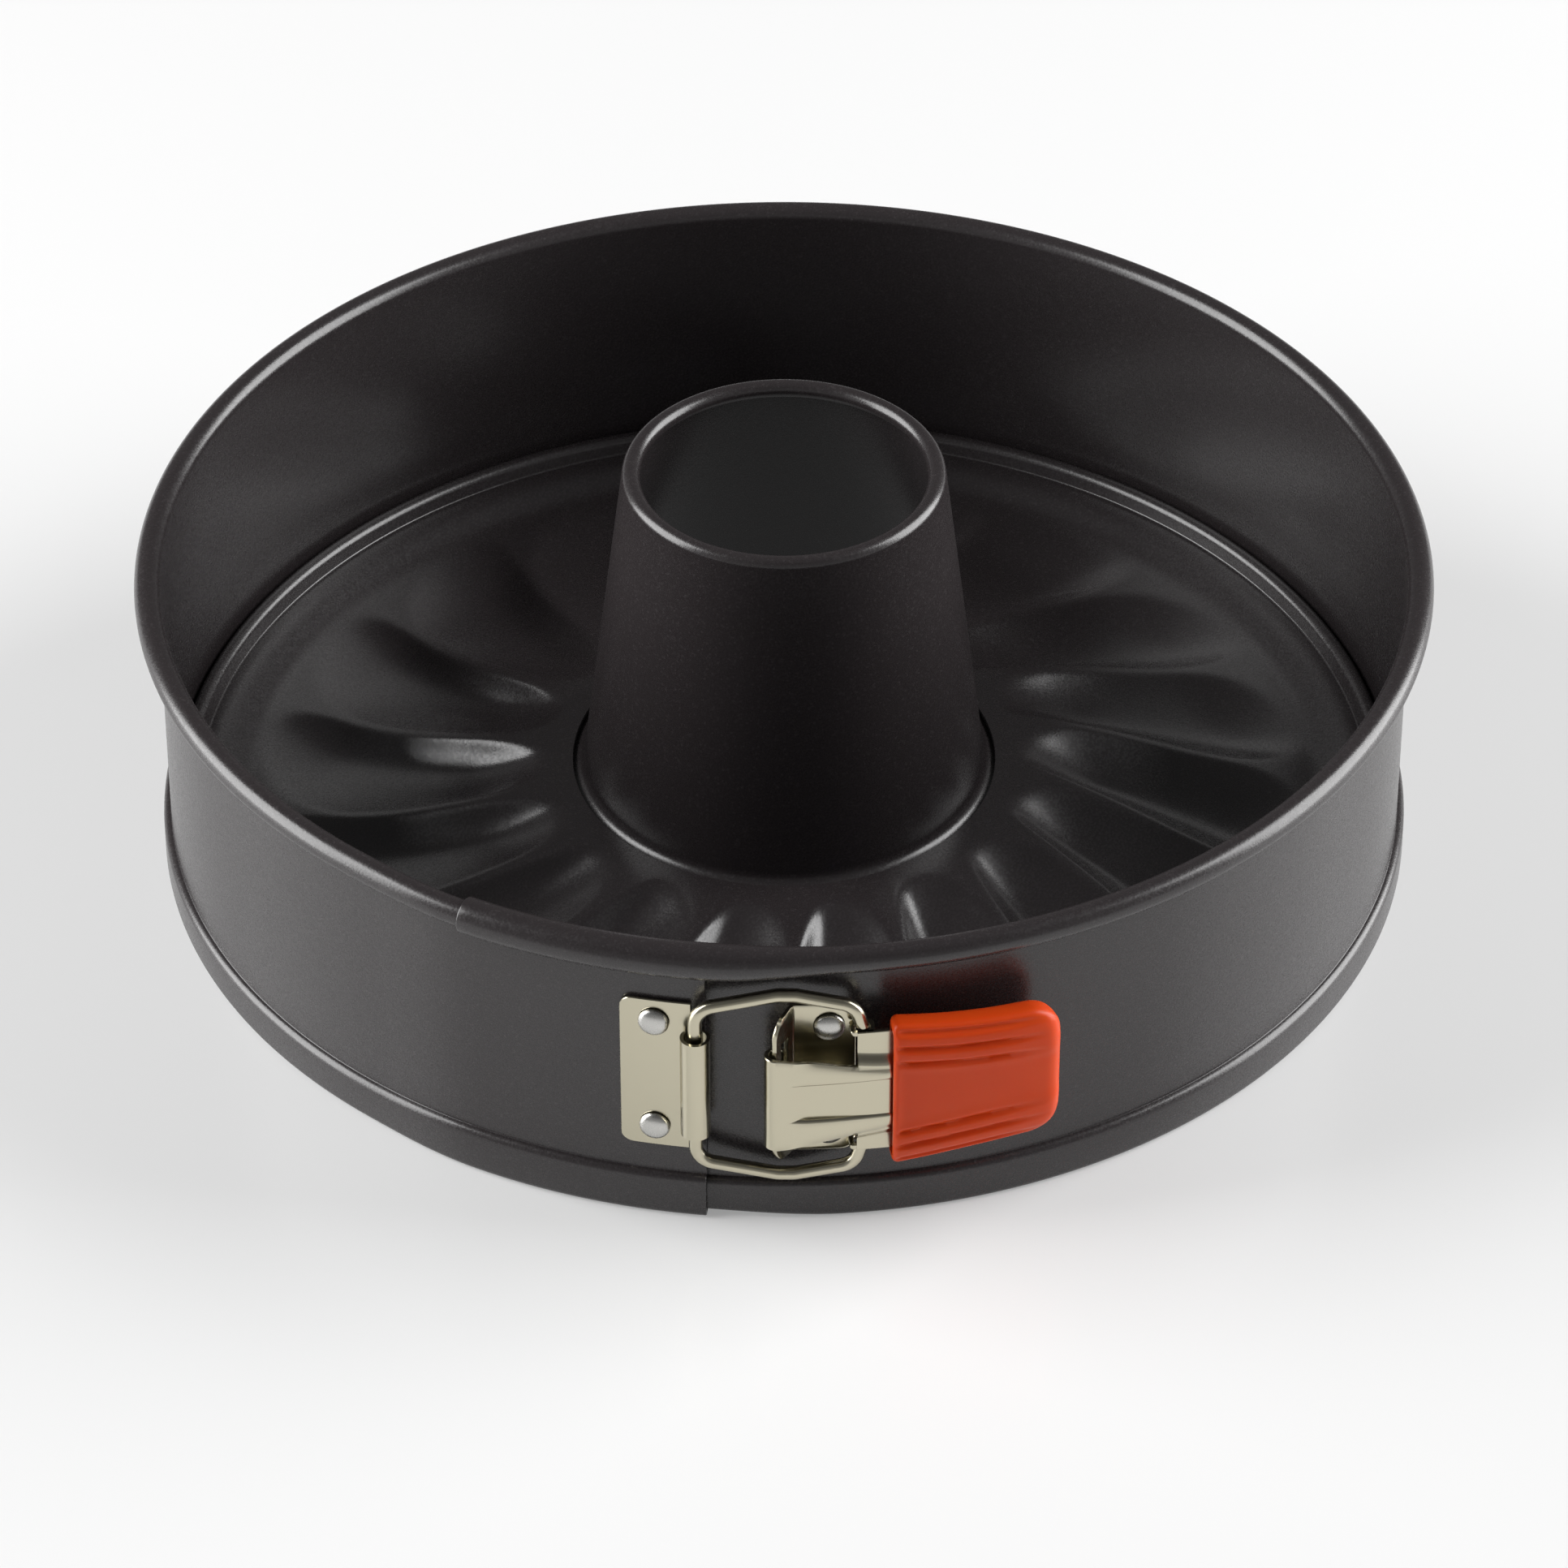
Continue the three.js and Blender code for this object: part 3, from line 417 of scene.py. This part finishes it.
even = np.arange(base["columns"]) / base["columns"]
crowded = even - base["crowding"] * np.sin(2 * np.pi * even) / (2 * np.pi)  # more columns near the ridges
phases = (np.arange(base["flutes"])[:, None] + crowded[None, :]).ravel()
radii = np.concatenate([[holeRadius, holeRadius + base["bevel"]],
                        np.linspace(holeRadius + base["holeStep"], landRadius, 5),
                        np.arange(landRadius + base["spacing"], floorRadius, base["spacing"])])
edge = baseEdge()
radius = np.concatenate([radii, edge[:, 0]])[None, :]
level = np.concatenate([fluteLevel(radii[None, :], phases[:, None] % 1),
                        np.broadcast_to(edge[:, 1], (len(phases), len(edge)))], axis=1)
turn = base["angle"] + phases[:, None] * 360 / base["flutes"] + fluteTurn(radius)
half = np.full(radius.shape, base["sheet"] / 2)
half[:, [0, -1]] -= base["bevel"]
makePiece("base_plate_fluted", [sheetMesh(around(radius, turn, level), half, wrap=True)],
          coated, "base", ["base_plate"])


# centre tube

def tubeProfile():  # foot flange under the base, fillet, cone, and a curl that rolls inwards
    flangeLevel = base["land"] - base["sheet"] - band["gap"] - tube["sheet"] / 2
    curl = tube["curl"] - tube["sheet"] / 2
    top = tube["topRadius"] - tube["sheet"] / 2
    foot = tube["footRadius"] - tube["sheet"] / 2
    flange = landRadius - tube["flangeMargin"] - np.array([0, tube["bevel"], tube["flangeStep"]])
    flange = np.stack([flange, np.full(len(flange), flangeLevel)], -1)
    bend = tube["footFillet"]
    fillet = np.stack(arc(foot + bend, flangeLevel + bend, bend, 270, 180, 10), -1)
    roll = np.stack(arc(top - curl, tube["top"] - tube["curl"], curl, 0, tube["curlEnd"], 28), -1)
    cone = fillet[-1] + (roll[0] - fillet[-1]) * np.linspace(0, 1, 16)[1:-1, None]
    return np.concatenate([flange, fillet, cone, roll])


profile = tubeProfile()
half = np.full((1, len(profile)), tube["sheet"] / 2)
half[:, [0, -1]] -= tube["bevel"]
turns = np.arange(0, 360, tube["turnStep"])[:, None]
makePiece("centre_tube_rolled", [sheetMesh(around(profile[:, 0], turns, profile[:, 1]), half, wrap=True)],
          coated, "base", ["centre_tube"])
print("coated pieces made")


# clasp

clasp = dict(level=36.2, plateHalf=18.5, corner=2.5, rivetHalf=13.3, bevel=0.15)
claspLevel = clasp["level"]
cornerSteps = [0, 0.15, 0.4, 0.8, 1.3, 1.9, 2.5]  # rows stand closer where a plate's corners are rounded
rimBottom = band["height"] - 2 * band["curl"]
freeFace = band["wall"] + nest


def alongWall(distance):  # distance along the wall as an angle
    return np.degrees(distance / band["wall"])


def plan(radius, distance):  # a point in plan, at a distance along the wall
    return around(radius, alongWall(np.asarray(distance, float)), 0.0)[..., :2]


def beside(origin, right, outwards):  # right along the wall and outwards from a point in plan
    turn = np.arctan2(origin[0], -origin[1])
    across = np.array([np.cos(turn), np.sin(turn)])
    out = np.array([np.sin(turn), -np.cos(turn)])
    return origin + np.multiply.outer(right, across) + np.multiply.outer(outwards, out)


def upright(line, offsets):  # every plan point carried to its heights above and below the clasp's middle
    level = np.broadcast_to(claspLevel + offsets, (len(line), offsets.shape[-1]))
    flat = np.broadcast_to(line[:, None, :], (*level.shape, 2))
    return np.concatenate([flat, level[..., None]], axis=-1)


def roundedEnd(fromEnd, half, corner):  # half height near an end whose corners are rounded
    inside = np.maximum(corner - fromEnd, 0)
    return half - corner + np.sqrt(corner ** 2 - inside ** 2)


def plateHeights(inner, half, share):  # columns fixed in the middle, shared out to each row's half height
    wings = mix(inner[-1], half[:, None], share[None, :])
    middle = np.broadcast_to(inner, (len(half), len(inner)))
    return np.concatenate([-wings[:, ::-1], middle, wings], axis=1)


def plateHalf(shape, sheet):  # half the sheet's thickness, thinner by a bevel all round
    half = np.full(shape, sheet / 2)
    half[[0, -1]] -= clasp["bevel"]
    half[1:-1, [0, -1]] -= clasp["bevel"]
    return half


# hinge plate: a flat plate on the free end, whose middle goes on into a circle, the barrel for the wire

plate = dict(sheet=0.7, left=-32.3, right=-18.2, rivet=-25.4, barrelAt=-17.0, barrel=3.0, barrelHalf=12.1,
             rollEnd=214)
plateMid = freeFace + band["gap"] + plate["sheet"] / 2
rollMid = plate["barrel"] - plate["sheet"] / 2
barrelAxis = plan(plateMid + rollMid, plate["barrelAt"])


def hingePlate():
    inset = np.array([*cornerSteps, 4, 6, 9, 12, plate["right"] - plate["left"]])
    flat = plan(plateMid, plate["left"] + inset)
    roll = np.stack(arc(0, 0, rollMid, -90, plate["rollEnd"], 44), -1)
    line = np.concatenate([flat, beside(barrelAxis, roll[:, 0], roll[:, 1])])
    half = np.full(len(line), clasp["plateHalf"])
    half[:len(inset)] = roundedEnd(inset, clasp["plateHalf"], clasp["corner"])
    share = np.array([1.5, 3.2, 4.6, 5.4, 5.9, 6.25, 6.4]) / 6.4
    offsets = plateHeights(np.linspace(-1, 1, 13) * plate["barrelHalf"], half, share)
    keep = np.ones((len(line) - 1, offsets.shape[1] - 1), bool)
    keep[len(inset) - 1:, :len(share)] = False  # only the middle is rolled
    keep[len(inset) - 1:, -len(share):] = False
    return sheetMesh(upright(line, offsets), plateHalf(offsets.shape, plate["sheet"]), keep)


makePiece("hinge_plate_rolled", [hingePlate()], nickel, "free_end", ["hinge_plate"])


# lever bracket: a plate on the covered end, bent out to a hinge bar with a window behind it; its two ears
# narrow towards the bar along a quarter of an ellipse

bracket = dict(sheet=1.0, right=14.0, bend=1.6, bendStart=1.4, rivet=8.8, pivotAt=-1.4, standoff=5.9,
               bar=1.0, earHalf=15.5, window=2.6, windowHalf=12.0, earCorner=2.8)
bracketMid = band["wall"] + band["gap"] + bracket["sheet"] / 2
pivot = plan(band["wall"] + bracket["standoff"], bracket["pivotAt"])


def leverBracket():
    inset = np.array([*cornerSteps, 4, 6, 8, bracket["right"] - bracket["bend"] - bracket["bendStart"]])
    flat = plan(bracketMid, bracket["right"] - inset)
    root = plan(bracketMid, bracket["bend"])
    reach = np.linalg.norm(pivot - root)
    outwards = (pivot - root) / reach
    closes = reach - bracket["bar"]
    opens = closes - bracket["window"]
    tip = reach + bracket["bar"]
    bend = rounded(np.stack([flat[-1], root, root + outwards * opens]), 3)[1:-1]
    along = np.concatenate([np.linspace(opens, closes, 5), np.linspace(closes, tip, 5)[1:-1],
                            [tip - clasp["bevel"], tip]])
    line = np.concatenate([flat, bend, root + along[:, None] * outwards])
    bulge = np.sqrt(np.maximum(1 - (along / tip) ** 2, 0))
    ear = mix(bracket["earHalf"], clasp["plateHalf"], bulge)
    ear -= bracket["earHalf"] - roundedEnd(tip - along, bracket["earHalf"], bracket["earCorner"])
    corner = roundedEnd(inset, clasp["plateHalf"], clasp["corner"])
    half = np.concatenate([corner, np.full(len(bend), clasp["plateHalf"]), ear])
    share = np.array([0.25, 0.5, 0.7, 0.85, 0.95, 1.0])
    offsets = plateHeights(np.linspace(-1, 1, 9) * bracket["windowHalf"], half, share)
    keep = np.ones((len(line) - 1, offsets.shape[1] - 1), bool)
    first = len(flat) + len(bend)
    keep[first:first + 4, len(share):-len(share)] = False  # the window
    return sheetMesh(upright(line, offsets), plateHalf(offsets.shape, bracket["sheet"]), keep)


makePiece("lever_bracket_bent", [leverBracket()], nickel, "ring", ["lever_bracket"])


# lever: knuckle round the bar, raised front with two creases, wings with eyes, tongue inside the grip

lever = dict(sheet=1.0, knuckle=2.5, tail=-30, halves=(11.65, 7.6), sag=(1.5, 0.75), taperFrom=4.0,
             taperTo=2.0, wingStart=13.8, wingHalf=15.0, setBack=2.2, flank=2.6, sinks=(-1, 5),
             creaseAt=4.5, creaseWidth=0.5, creaseDepth=1.0, creaseSag=(1.1, 0.2), creaseFrom=(0.6, 4.5),
             creaseFade=(6, 18), creaseLeft=0.5, turnBack=0.6, turnWidth=1.6, turnFrom=(1, 6), eyeAt=14.9,
             eyeStandoff=4.1, eye=1.55, tabHalf=2.5, tabReach=3.9, tabSink=0.3, tongueFrom=6.0,
             tongueEnd=47.0, tongueHalf=12.0, rows=(22, 20, 8))
grip = dict(start=20.2, end=52.6, upper=(18.0, 16.6), lower=(17.5, 13.9), thickness=7.8, standoff=6.4,
            flare=1.2, waist=0.5, grooves=(1.5, 5.1, 8.7), groove=0.6, depth=1.0, fade=(0.55, 0.95),
            panel=0.5, panelEdge=(-0.5, 3.0), endRound=6.5, tipRound=3.4, tipShare=0.06, lipRound=1.3,
            lipShare=0.8, lipFade=0.06, slotGap=0.6, slotRows=(6.0, 3.0, 0.25, 0.0), points=200)
frontMid = band["wall"] + bracket["standoff"] + lever["knuckle"] - lever["sheet"] / 2
wingMid = frontMid - lever["setBack"]


def taper(values, distance):  # from the first value at the knuckle to the second at the grip
    low, high = bracket["pivotAt"] - lever["taperFrom"], grip["start"] + lever["taperTo"]
    return mix(*values, smooth(distance, low, high))


# Radius of the lever's sheet: the front lies outside, its panel between the creases is sunk, its edges
# turn back a little, and flanks lead down to the wings; inside the grip the front sinks to the wings'
# level. The front and its creases sag below the clasp's middle, most at the knuckle.
def leverRadius(distance, offset):
    raised = 1 - smooth(distance - grip["start"], *lever["sinks"])
    fade = mix(1, lever["creaseLeft"], smooth(distance, *lever["creaseFade"]))
    crease = lever["creaseDepth"] * smooth(distance, *lever["creaseFrom"]) * fade
    fromCrease = np.abs(offset + taper(lever["creaseSag"], distance)) - lever["creaseAt"]
    fromEdge = np.abs(offset + taper(lever["sag"], distance)) - taper(lever["halves"], distance)
    between = 1 - smooth(fromCrease, 0, lever["creaseWidth"])
    turned = smooth(fromEdge, -lever["turnWidth"], 0) * smooth(distance, *lever["turnFrom"])
    front = mix(wingMid, frontMid - crease * between - lever["turnBack"] * turned, raised)
    return mix(front, wingMid, smooth(fromEdge, 0, lever["flank"]))


# The lever's sheet: rows run round the knuckle and along the front, columns follow the creases, edges and
# flanks out to the wings, which narrow to the tongue.
def leverPlate():
    frontRows, wingRows, tongueRows = lever["rows"]
    tongueStart = grip["start"] + lever["tongueFrom"]
    distance = np.concatenate([np.linspace(bracket["pivotAt"], lever["wingStart"], frontRows),
                               np.linspace(lever["wingStart"], tongueStart, wingRows)[1:],
                               np.linspace(tongueStart, lever["tongueEnd"], tongueRows)[1:]])[:, None]
    fixed = np.concatenate([np.linspace(0, lever["creaseAt"], 5),
                            lever["creaseAt"] + lever["creaseWidth"] * np.linspace(0, 1, 7)[1:]])
    narrow = smooth(distance, grip["start"], lever["tongueEnd"])
    tip = mix(lever["wingHalf"], lever["tongueHalf"], narrow)

    def columns(side):  # from the crease's middle to the tip, upwards or downwards
        inner = fixed - side * taper(lever["creaseSag"], distance)
        edge = taper(lever["halves"], distance) - side * taper(lever["sag"], distance)
        plain = mix(inner[:, -1:], edge - clasp["bevel"], np.linspace(0, 1, 5)[None, 1:])
        flank = edge + lever["flank"] * np.linspace(0, 1, 8)[None, :]
        wing = mix(flank[:, -1:], tip - clasp["bevel"], np.linspace(0, 1, 5)[None, 1:])
        return np.concatenate([inner, plain, flank, wing, tip], axis=1)

    offsets = np.concatenate([-columns(-1)[:, :0:-1], columns(1)], axis=1)
    front = around(leverRadius(distance, offsets), alongWall(distance), claspLevel + offsets)
    roll = np.stack(arc(0, 0, lever["knuckle"] - lever["sheet"] / 2, lever["tail"], -270, 34), -1)[:-1]
    knuckle = upright(beside(pivot, roll[:, 0], roll[:, 1]), offsets[:1])
    middle = np.concatenate([knuckle, front])
    cols = offsets.shape[1]
    free = 12  # columns past the front's edge: seven of the flank, four of the wing and its tip
    start = len(roll) + frontRows - 1  # row where the wings begin
    keep = np.ones((len(middle) - 1, cols - 1), bool)
    keep[:start, :free] = False
    keep[:start, -free:] = False
    half = np.full((len(middle), cols), lever["sheet"] / 2)
    half[0] -= clasp["bevel"]
    half[1:start, [free, -free - 1]] -= clasp["bevel"]
    half[start:, [0, -1]] -= clasp["bevel"]
    return sheetMesh(middle, half, keep)


eye = plan(band["wall"] + lever["eyeStandoff"], lever["eyeAt"])


# A tab turned in from the wing's edge: rings go from the round eye out to a rounded square,
# |x|^6 + |y|^6 = 1.
def eyeTab(side):
    a = np.radians(np.arange(0, 360, 7.5))[:, None]
    c, s = np.cos(a), np.sin(a)
    square = 1 / (np.abs(c) ** 6 + np.abs(s) ** 6) ** (1 / 6)
    toWing = wingMid - band["wall"] - lever["eyeStandoff"]
    reach = np.where(s > 0, toWing + lever["tabSink"], lever["tabReach"] - toWing)
    share = np.array([0, 0.12, 0.5, 0.9, 1.0])[None, :]
    right = mix(lever["eye"] * c, lever["tabHalf"] * square * c, share)
    outwards = mix(lever["eye"] * s, reach * square * s, share)
    flat = beside(eye, right, outwards)
    level = np.full(right.shape, claspLevel + side * (lever["wingHalf"] - lever["sheet"] / 2))
    half = np.full(share.shape, lever["sheet"] / 2)
    half[0, [0, -1]] -= clasp["bevel"]
    return sheetMesh(np.concatenate([flat, level[..., None]], axis=-1), half, wrap=True)


makePiece("lever_pressed", [leverPlate(), eyeTab(1), eyeTab(-1)],
          nickel, "clasp_lever", ["lever"])


# wire bail: a circle carried along a line in one upright plane, whose corners are arcs

bail = dict(wire=1.42, bend=4.4, shoulder=19.2, rimGap=3.5, peakFrom=16.2, peakTo=19.7, corner=20.2,
            inset=1.4, tipShares=(0.86, 0.5, 0.0), sides=28)


def wireBail():
    reach = eye - barrelAxis
    length = np.linalg.norm(reach)
    outwards = reach / length
    peak = rimBottom - bail["rimGap"] - bail["wire"] - claspLevel
    tip = lever["wingHalf"] + band["gap"]
    upper = np.array([[length, tip], [length - bail["inset"], bail["corner"]], [bail["peakTo"], peak],
                      [bail["peakFrom"], peak], [0, bail["shoulder"]]])
    corners = np.concatenate([upper, (upper * [1, -1])[::-1]])
    parts = [corners[:1]]
    for before, corner, after in zip(corners[:-2], corners[1:-1], corners[2:]):
        toBefore = (before - corner) / np.linalg.norm(before - corner)
        toAfter = (after - corner) / np.linalg.norm(after - corner)
        halving = (toBefore + toAfter) / np.linalg.norm(toBefore + toAfter)
        half = np.arccos(np.clip(toBefore @ toAfter, -1, 1)) / 2
        centre = corner + halving * bail["bend"] / np.sin(half)
        start = corner + toBefore * bail["bend"] / np.tan(half) - centre
        stop = corner + toAfter * bail["bend"] / np.tan(half) - centre
        sweep = np.arctan2(start[0] * stop[1] - start[1] * stop[0], start @ stop)
        a = np.arctan2(start[1], start[0]) + sweep * np.linspace(0, 1, 10)
        parts.append(centre + bail["bend"] * np.stack([np.cos(a), np.sin(a)], -1))
    line = np.concatenate([*parts, corners[-1:]])
    along = np.gradient(line, axis=0)
    along /= np.linalg.norm(along, axis=1, keepdims=True)
    along[[0, -1]] = 0, 1  # both tips are cut level
    spine = np.concatenate([barrelAxis + line[:, :1] * outwards, claspLevel + line[:, 1:]], axis=1)
    normal = np.concatenate([-along[:, 1:] * outwards, along[:, :1]], axis=1)[:, None, :]
    aside = np.array([outwards[1], -outwards[0], 0])
    a = np.radians(np.arange(0, 360, 360 / bail["sides"]))[None, :, None]
    skin = spine[:, None, :] + bail["wire"] * (np.cos(a) * normal + np.sin(a) * aside)
    shares = np.array(bail["tipShares"])[:, None, None]
    first = spine[0] + (skin[0] - spine[0]) * shares
    last = spine[-1] + (skin[-1] - spine[-1]) * shares
    points = np.concatenate([first[::-1], skin, last])
    return points, tubeFaces(len(points), bail["sides"])


makePiece("wire_bail_round", [wireBail()], nickel, "bail", ["wire_bail"], sharp=50)


# Silicone grip: a rounded slab round the tongue, |up|^4 + |out|^4 = 1 in section, narrower towards its
# rounded end. Three grooves run along its upper and lower edges, each as deep as exp(-d^2) across and
# fading at the end, beside a sunken panel.
def gripSleeve():
    a = np.radians(np.linspace(0, 360, grip["points"], endpoint=False))[None, ::-1]
    c, s = np.cos(a), np.sin(a)
    up = np.sign(s) * np.abs(s) ** 0.5
    out = np.sign(c) * np.abs(c) ** 0.5
    bend = np.radians(np.linspace(0, 90, 12))
    lipEnd, endStart = grip["start"] + grip["lipRound"], grip["end"] - grip["endRound"]
    distance = np.concatenate([lipEnd - grip["lipRound"] * np.cos(bend),
                               np.linspace(lipEnd, endStart, 32)[1:-1],
                               endStart + grip["endRound"] * np.sin(bend)])[:, None]
    along = (distance - grip["start"]) / (grip["end"] - grip["start"])

    def quarterRound(length):  # rises from 0 to 1 over a quarter circle
        return np.sqrt(np.maximum(1 - (1 - np.clip(length, 0, 1)) ** 2, 0))

    lip = grip["lipRound"] * (1 - quarterRound((distance - grip["start"]) / grip["lipRound"]))
    end = quarterRound((grip["end"] - distance) / grip["endRound"])
    tip = quarterRound((grip["end"] - distance) / grip["tipRound"])
    full = np.where(s > 0, mix(*grip["upper"], along), mix(*grip["lower"], along))
    full = full - grip["waist"] * np.sin(np.pi * along)
    half = full - grip["endRound"] * (1 - end) - lip
    thick = grip["thickness"] / 2 * mix(grip["tipShare"], 1, tip) - lip * grip["lipShare"]
    edge = full - np.abs(half * up)
    fade = 1 - smooth(along, *grip["fade"])
    dip = grip["panel"] * smooth(edge - grip["grooves"][-1], *grip["panelEdge"])
    for place in grip["grooves"]:
        dip = dip + grip["depth"] * np.exp(-((edge - place) / grip["groove"]) ** 2) * fade
    dip = dip * np.clip(out, 0, 1) * tip * smooth(along, 0, grip["lipFade"])
    radius = band["wall"] + grip["standoff"] + grip["flare"] * along + thick * out - dip
    outside = around(radius, alongWall(distance), claspLevel + half * up)
    # the slot for the lever, |up|^8 + |out|^8 = 1: its mouth on the end face and a little of its walls
    slotUp = np.sign(s) * np.abs(s) ** 0.25 * (lever["wingHalf"] + grip["slotGap"])
    slotOut = np.sign(c) * np.abs(c) ** 0.25 * (lever["setBack"] / 2 + lever["sheet"] / 2 + band["gap"])
    slotMid = (frontMid + wingMid) / 2
    deep = np.array(grip["slotRows"])[:, None]
    slot = around(slotMid + slotOut, alongWall(grip["start"] + deep), claspLevel + slotUp)
    floor = np.broadcast_to(slot[:1].mean(axis=1, keepdims=True), slot[:1].shape)
    cap = np.broadcast_to(outside[-1:].mean(axis=1, keepdims=True), outside[-1:].shape)
    points = np.concatenate([floor, slot, outside, cap])
    return points, tubeFaces(len(points), grip["points"])


makePiece("lever_grip_sleeve", [gripSleeve()],
          silicone, "clasp_lever", ["lever_grip"], sharp=60)


# rivets: domed heads on straight shanks, turned about an axis that points out of the wall

rivet = dict(head=3.15, rise=1.5, domeEnd=86, underHead=0.985, shank=1.6, tail=2.4, tailRise=0.6,
             tailBevel=(0.2, 0.15))


def rivetShape(distance, offset, seat, inside, tailed):
    a = np.radians(np.linspace(0, rivet["domeEnd"], 12))
    dome = np.stack([rivet["head"] * np.sin(a), seat + rivet["rise"] * np.cos(a)], -1)
    under = np.array([[rivet["head"] * rivet["underHead"], seat], [rivet["shank"], seat],
                      [rivet["shank"], inside]])
    bottom = inside - rivet["tailRise"]
    inwards, upwards = rivet["tailBevel"]
    tail = np.array([[rivet["tail"], inside], [rivet["tail"], bottom + upwards],
                     [rivet["tail"] - inwards, bottom], [0, bottom]])
    line = np.concatenate([dome, under, tail if tailed else [[0, inside]]])
    t = np.radians(np.arange(0, 360, 10))
    turn = np.radians(alongWall(distance))
    across = line[:, :1] * np.cos(t)[None, :]
    up = line[:, :1] * np.sin(t)[None, :]
    out = line[:, 1:] + 0 * up
    x = across * np.cos(turn) + out * np.sin(turn)
    y = across * np.sin(turn) - out * np.cos(turn)
    points = np.stack([x, y, claspLevel + offset + up], -1)
    return points, tubeFaces(len(line), len(t))


plateSeat = plateMid + plate["sheet"] / 2 + band["gap"]
plateInside = freeFace - band["sheet"]
bracketSeat = bracketMid + bracket["sheet"] / 2 + band["gap"]
bracketInside = band["wall"] - band["sheet"] - band["gap"]
for name, side in (("upper", 1), ("lower", -1)):
    offset = side * clasp["rivetHalf"]
    makePiece("hinge_plate_rivet_%s_domed" % name,
              [rivetShape(plate["rivet"], offset, plateSeat, plateInside, False)],
              aluminium, "free_end", ["hinge_plate_rivet_%s" % name])
    makePiece("bracket_rivet_%s_domed" % name,
              [rivetShape(bracket["rivet"], offset, bracketSeat, bracketInside, True)],
              aluminium, "ring", ["bracket_rivet_%s" % name])
print("clasp made")


# floor, light and camera, in metres

studio = dict(floor="#e4e4e4", floorHalf=6, lift=0.28, floorRoughness=0.25, world="#ffffff", room=0.11,
              front=0.2, frontFrom=0.2, lowFrom=0.65, lowFull=0.3)


def paleFloor():  # white studio sweep: seen as near white, and it keeps the pan's soft shadow
    material, tree = newMaterial("paleFloor")
    path = addNode(tree, "ShaderNodeLightPath")
    seen = addNode(tree, "ShaderNodeMath", [("operation", "ADD")],
                   [(0, path.outputs["Is Camera Ray"]), (1, path.outputs["Is Glossy Ray"])])
    seen = addNode(tree, "ShaderNodeMath", [("operation", "ADD"), ("use_clamp", True)],
                   [(0, seen.outputs["Value"]), (1, path.outputs["Is Transmission Ray"])])
    share = addNode(tree, "ShaderNodeMath", [("operation", "MULTIPLY"), (1, studio["lift"])],
                    [(0, seen.outputs["Value"])])
    matte = addNode(tree, "ShaderNodeBsdfPrincipled",
                    [("Base Color", linear(studio["floor"])), ("Roughness", studio["floorRoughness"])])
    glow = addNode(tree, "ShaderNodeEmission", [("Color", (1, 1, 1, 1)), ("Strength", 1.0)])
    both = addNode(tree, "ShaderNodeMixShader", (),
                   [(0, share.outputs["Value"]), (1, matte.outputs["BSDF"]),
                    (2, glow.outputs["Emission"])])
    addNode(tree, "ShaderNodeOutputMaterial", (), [("Surface", both.outputs["Shader"])])
    return material


far = studio["floorHalf"]
floorMesh = bpy.data.meshes.new("studio_floor")
floorCorners = [(-far, -far, 0), (far, -far, 0), (far, far, 0), (-far, far, 0)]
floorMesh.from_pydata(floorCorners, [], [(0, 1, 2, 3)])
floorMesh.materials.append(paleFloor())
floor = bpy.data.objects.new("studio_floor", floorMesh)
scene.collection.objects.link(floor)

# an even room, brighter low down at the front
world = bpy.data.worlds.new("studio")
scene.world = world
world.use_nodes = True
sky = world.node_tree
sky.nodes.clear()
towards = addNode(sky, "ShaderNodeTexCoord").outputs["Generated"]
part = addNode(sky, "ShaderNodeSeparateXYZ", (), [("Vector", towards)])
front = addNode(sky, "ShaderNodeMapRange",
                [("From Min", studio["frontFrom"]), ("From Max", -1.0), ("To Max", studio["front"])],
                [("Value", part.outputs["Y"])])
low = addNode(sky, "ShaderNodeMapRange",
              [("From Min", studio["lowFrom"]), ("From Max", studio["lowFull"])],
              [("Value", part.outputs["Z"])])
glow = addNode(sky, "ShaderNodeMath", [("operation", "MULTIPLY_ADD"), (2, studio["room"])],
               [(0, front.outputs["Result"]), (1, low.outputs["Result"])])
air = addNode(sky, "ShaderNodeBackground", [("Color", linear(studio["world"]))],
              [("Strength", glow.outputs["Value"])])
addNode(sky, "ShaderNodeOutputWorld", (), [("Surface", air.outputs["Background"])])

# two upright panels beside the pan, from the floor up; azimuth from the front to +X
panel = dict(azimuths=(("panel_left", -92), ("panel_right", 101)), distance=1.5, size=(1.3, 1.8),
             level=0.92, watts=58.5)
for name, azimuth in panel["azimuths"]:
    lamp = bpy.data.lights.new(name, "AREA")
    lamp.shape = "RECTANGLE"
    lamp.size, lamp.size_y = panel["size"]
    lamp.energy = panel["watts"]
    away = Vector(around(1.0, azimuth, 0.0).tolist())
    holder = bpy.data.objects.new(name, lamp)
    holder.location = away * panel["distance"] + Vector((0, 0, panel["level"]))
    holder.rotation_mode = "QUATERNION"
    holder.rotation_quaternion = (-away).to_track_quat("-Z", "Y")
    scene.collection.objects.link(holder)

shot = dict(lens=166.07, sensor=36, clip=(0.05, 50), distance=1.55073, elevation=37.55,
            target=(0, 0, 0.00791))
lens = bpy.data.cameras.new("photo_camera")
lens.lens = shot["lens"]
lens.sensor_width = shot["sensor"]
lens.clip_start, lens.clip_end = shot["clip"]
camera = bpy.data.objects.new("photo_camera", lens)
tilt = np.radians(shot["elevation"])
back = Vector((0, -np.cos(tilt), np.sin(tilt)))
camera.location = Vector(shot["target"]) + back * shot["distance"]
camera.rotation_mode = "QUATERNION"
camera.rotation_quaternion = (-back).to_track_quat("-Z", "Y")
scene.collection.objects.link(camera)
scene.camera = camera
print("studio ready")
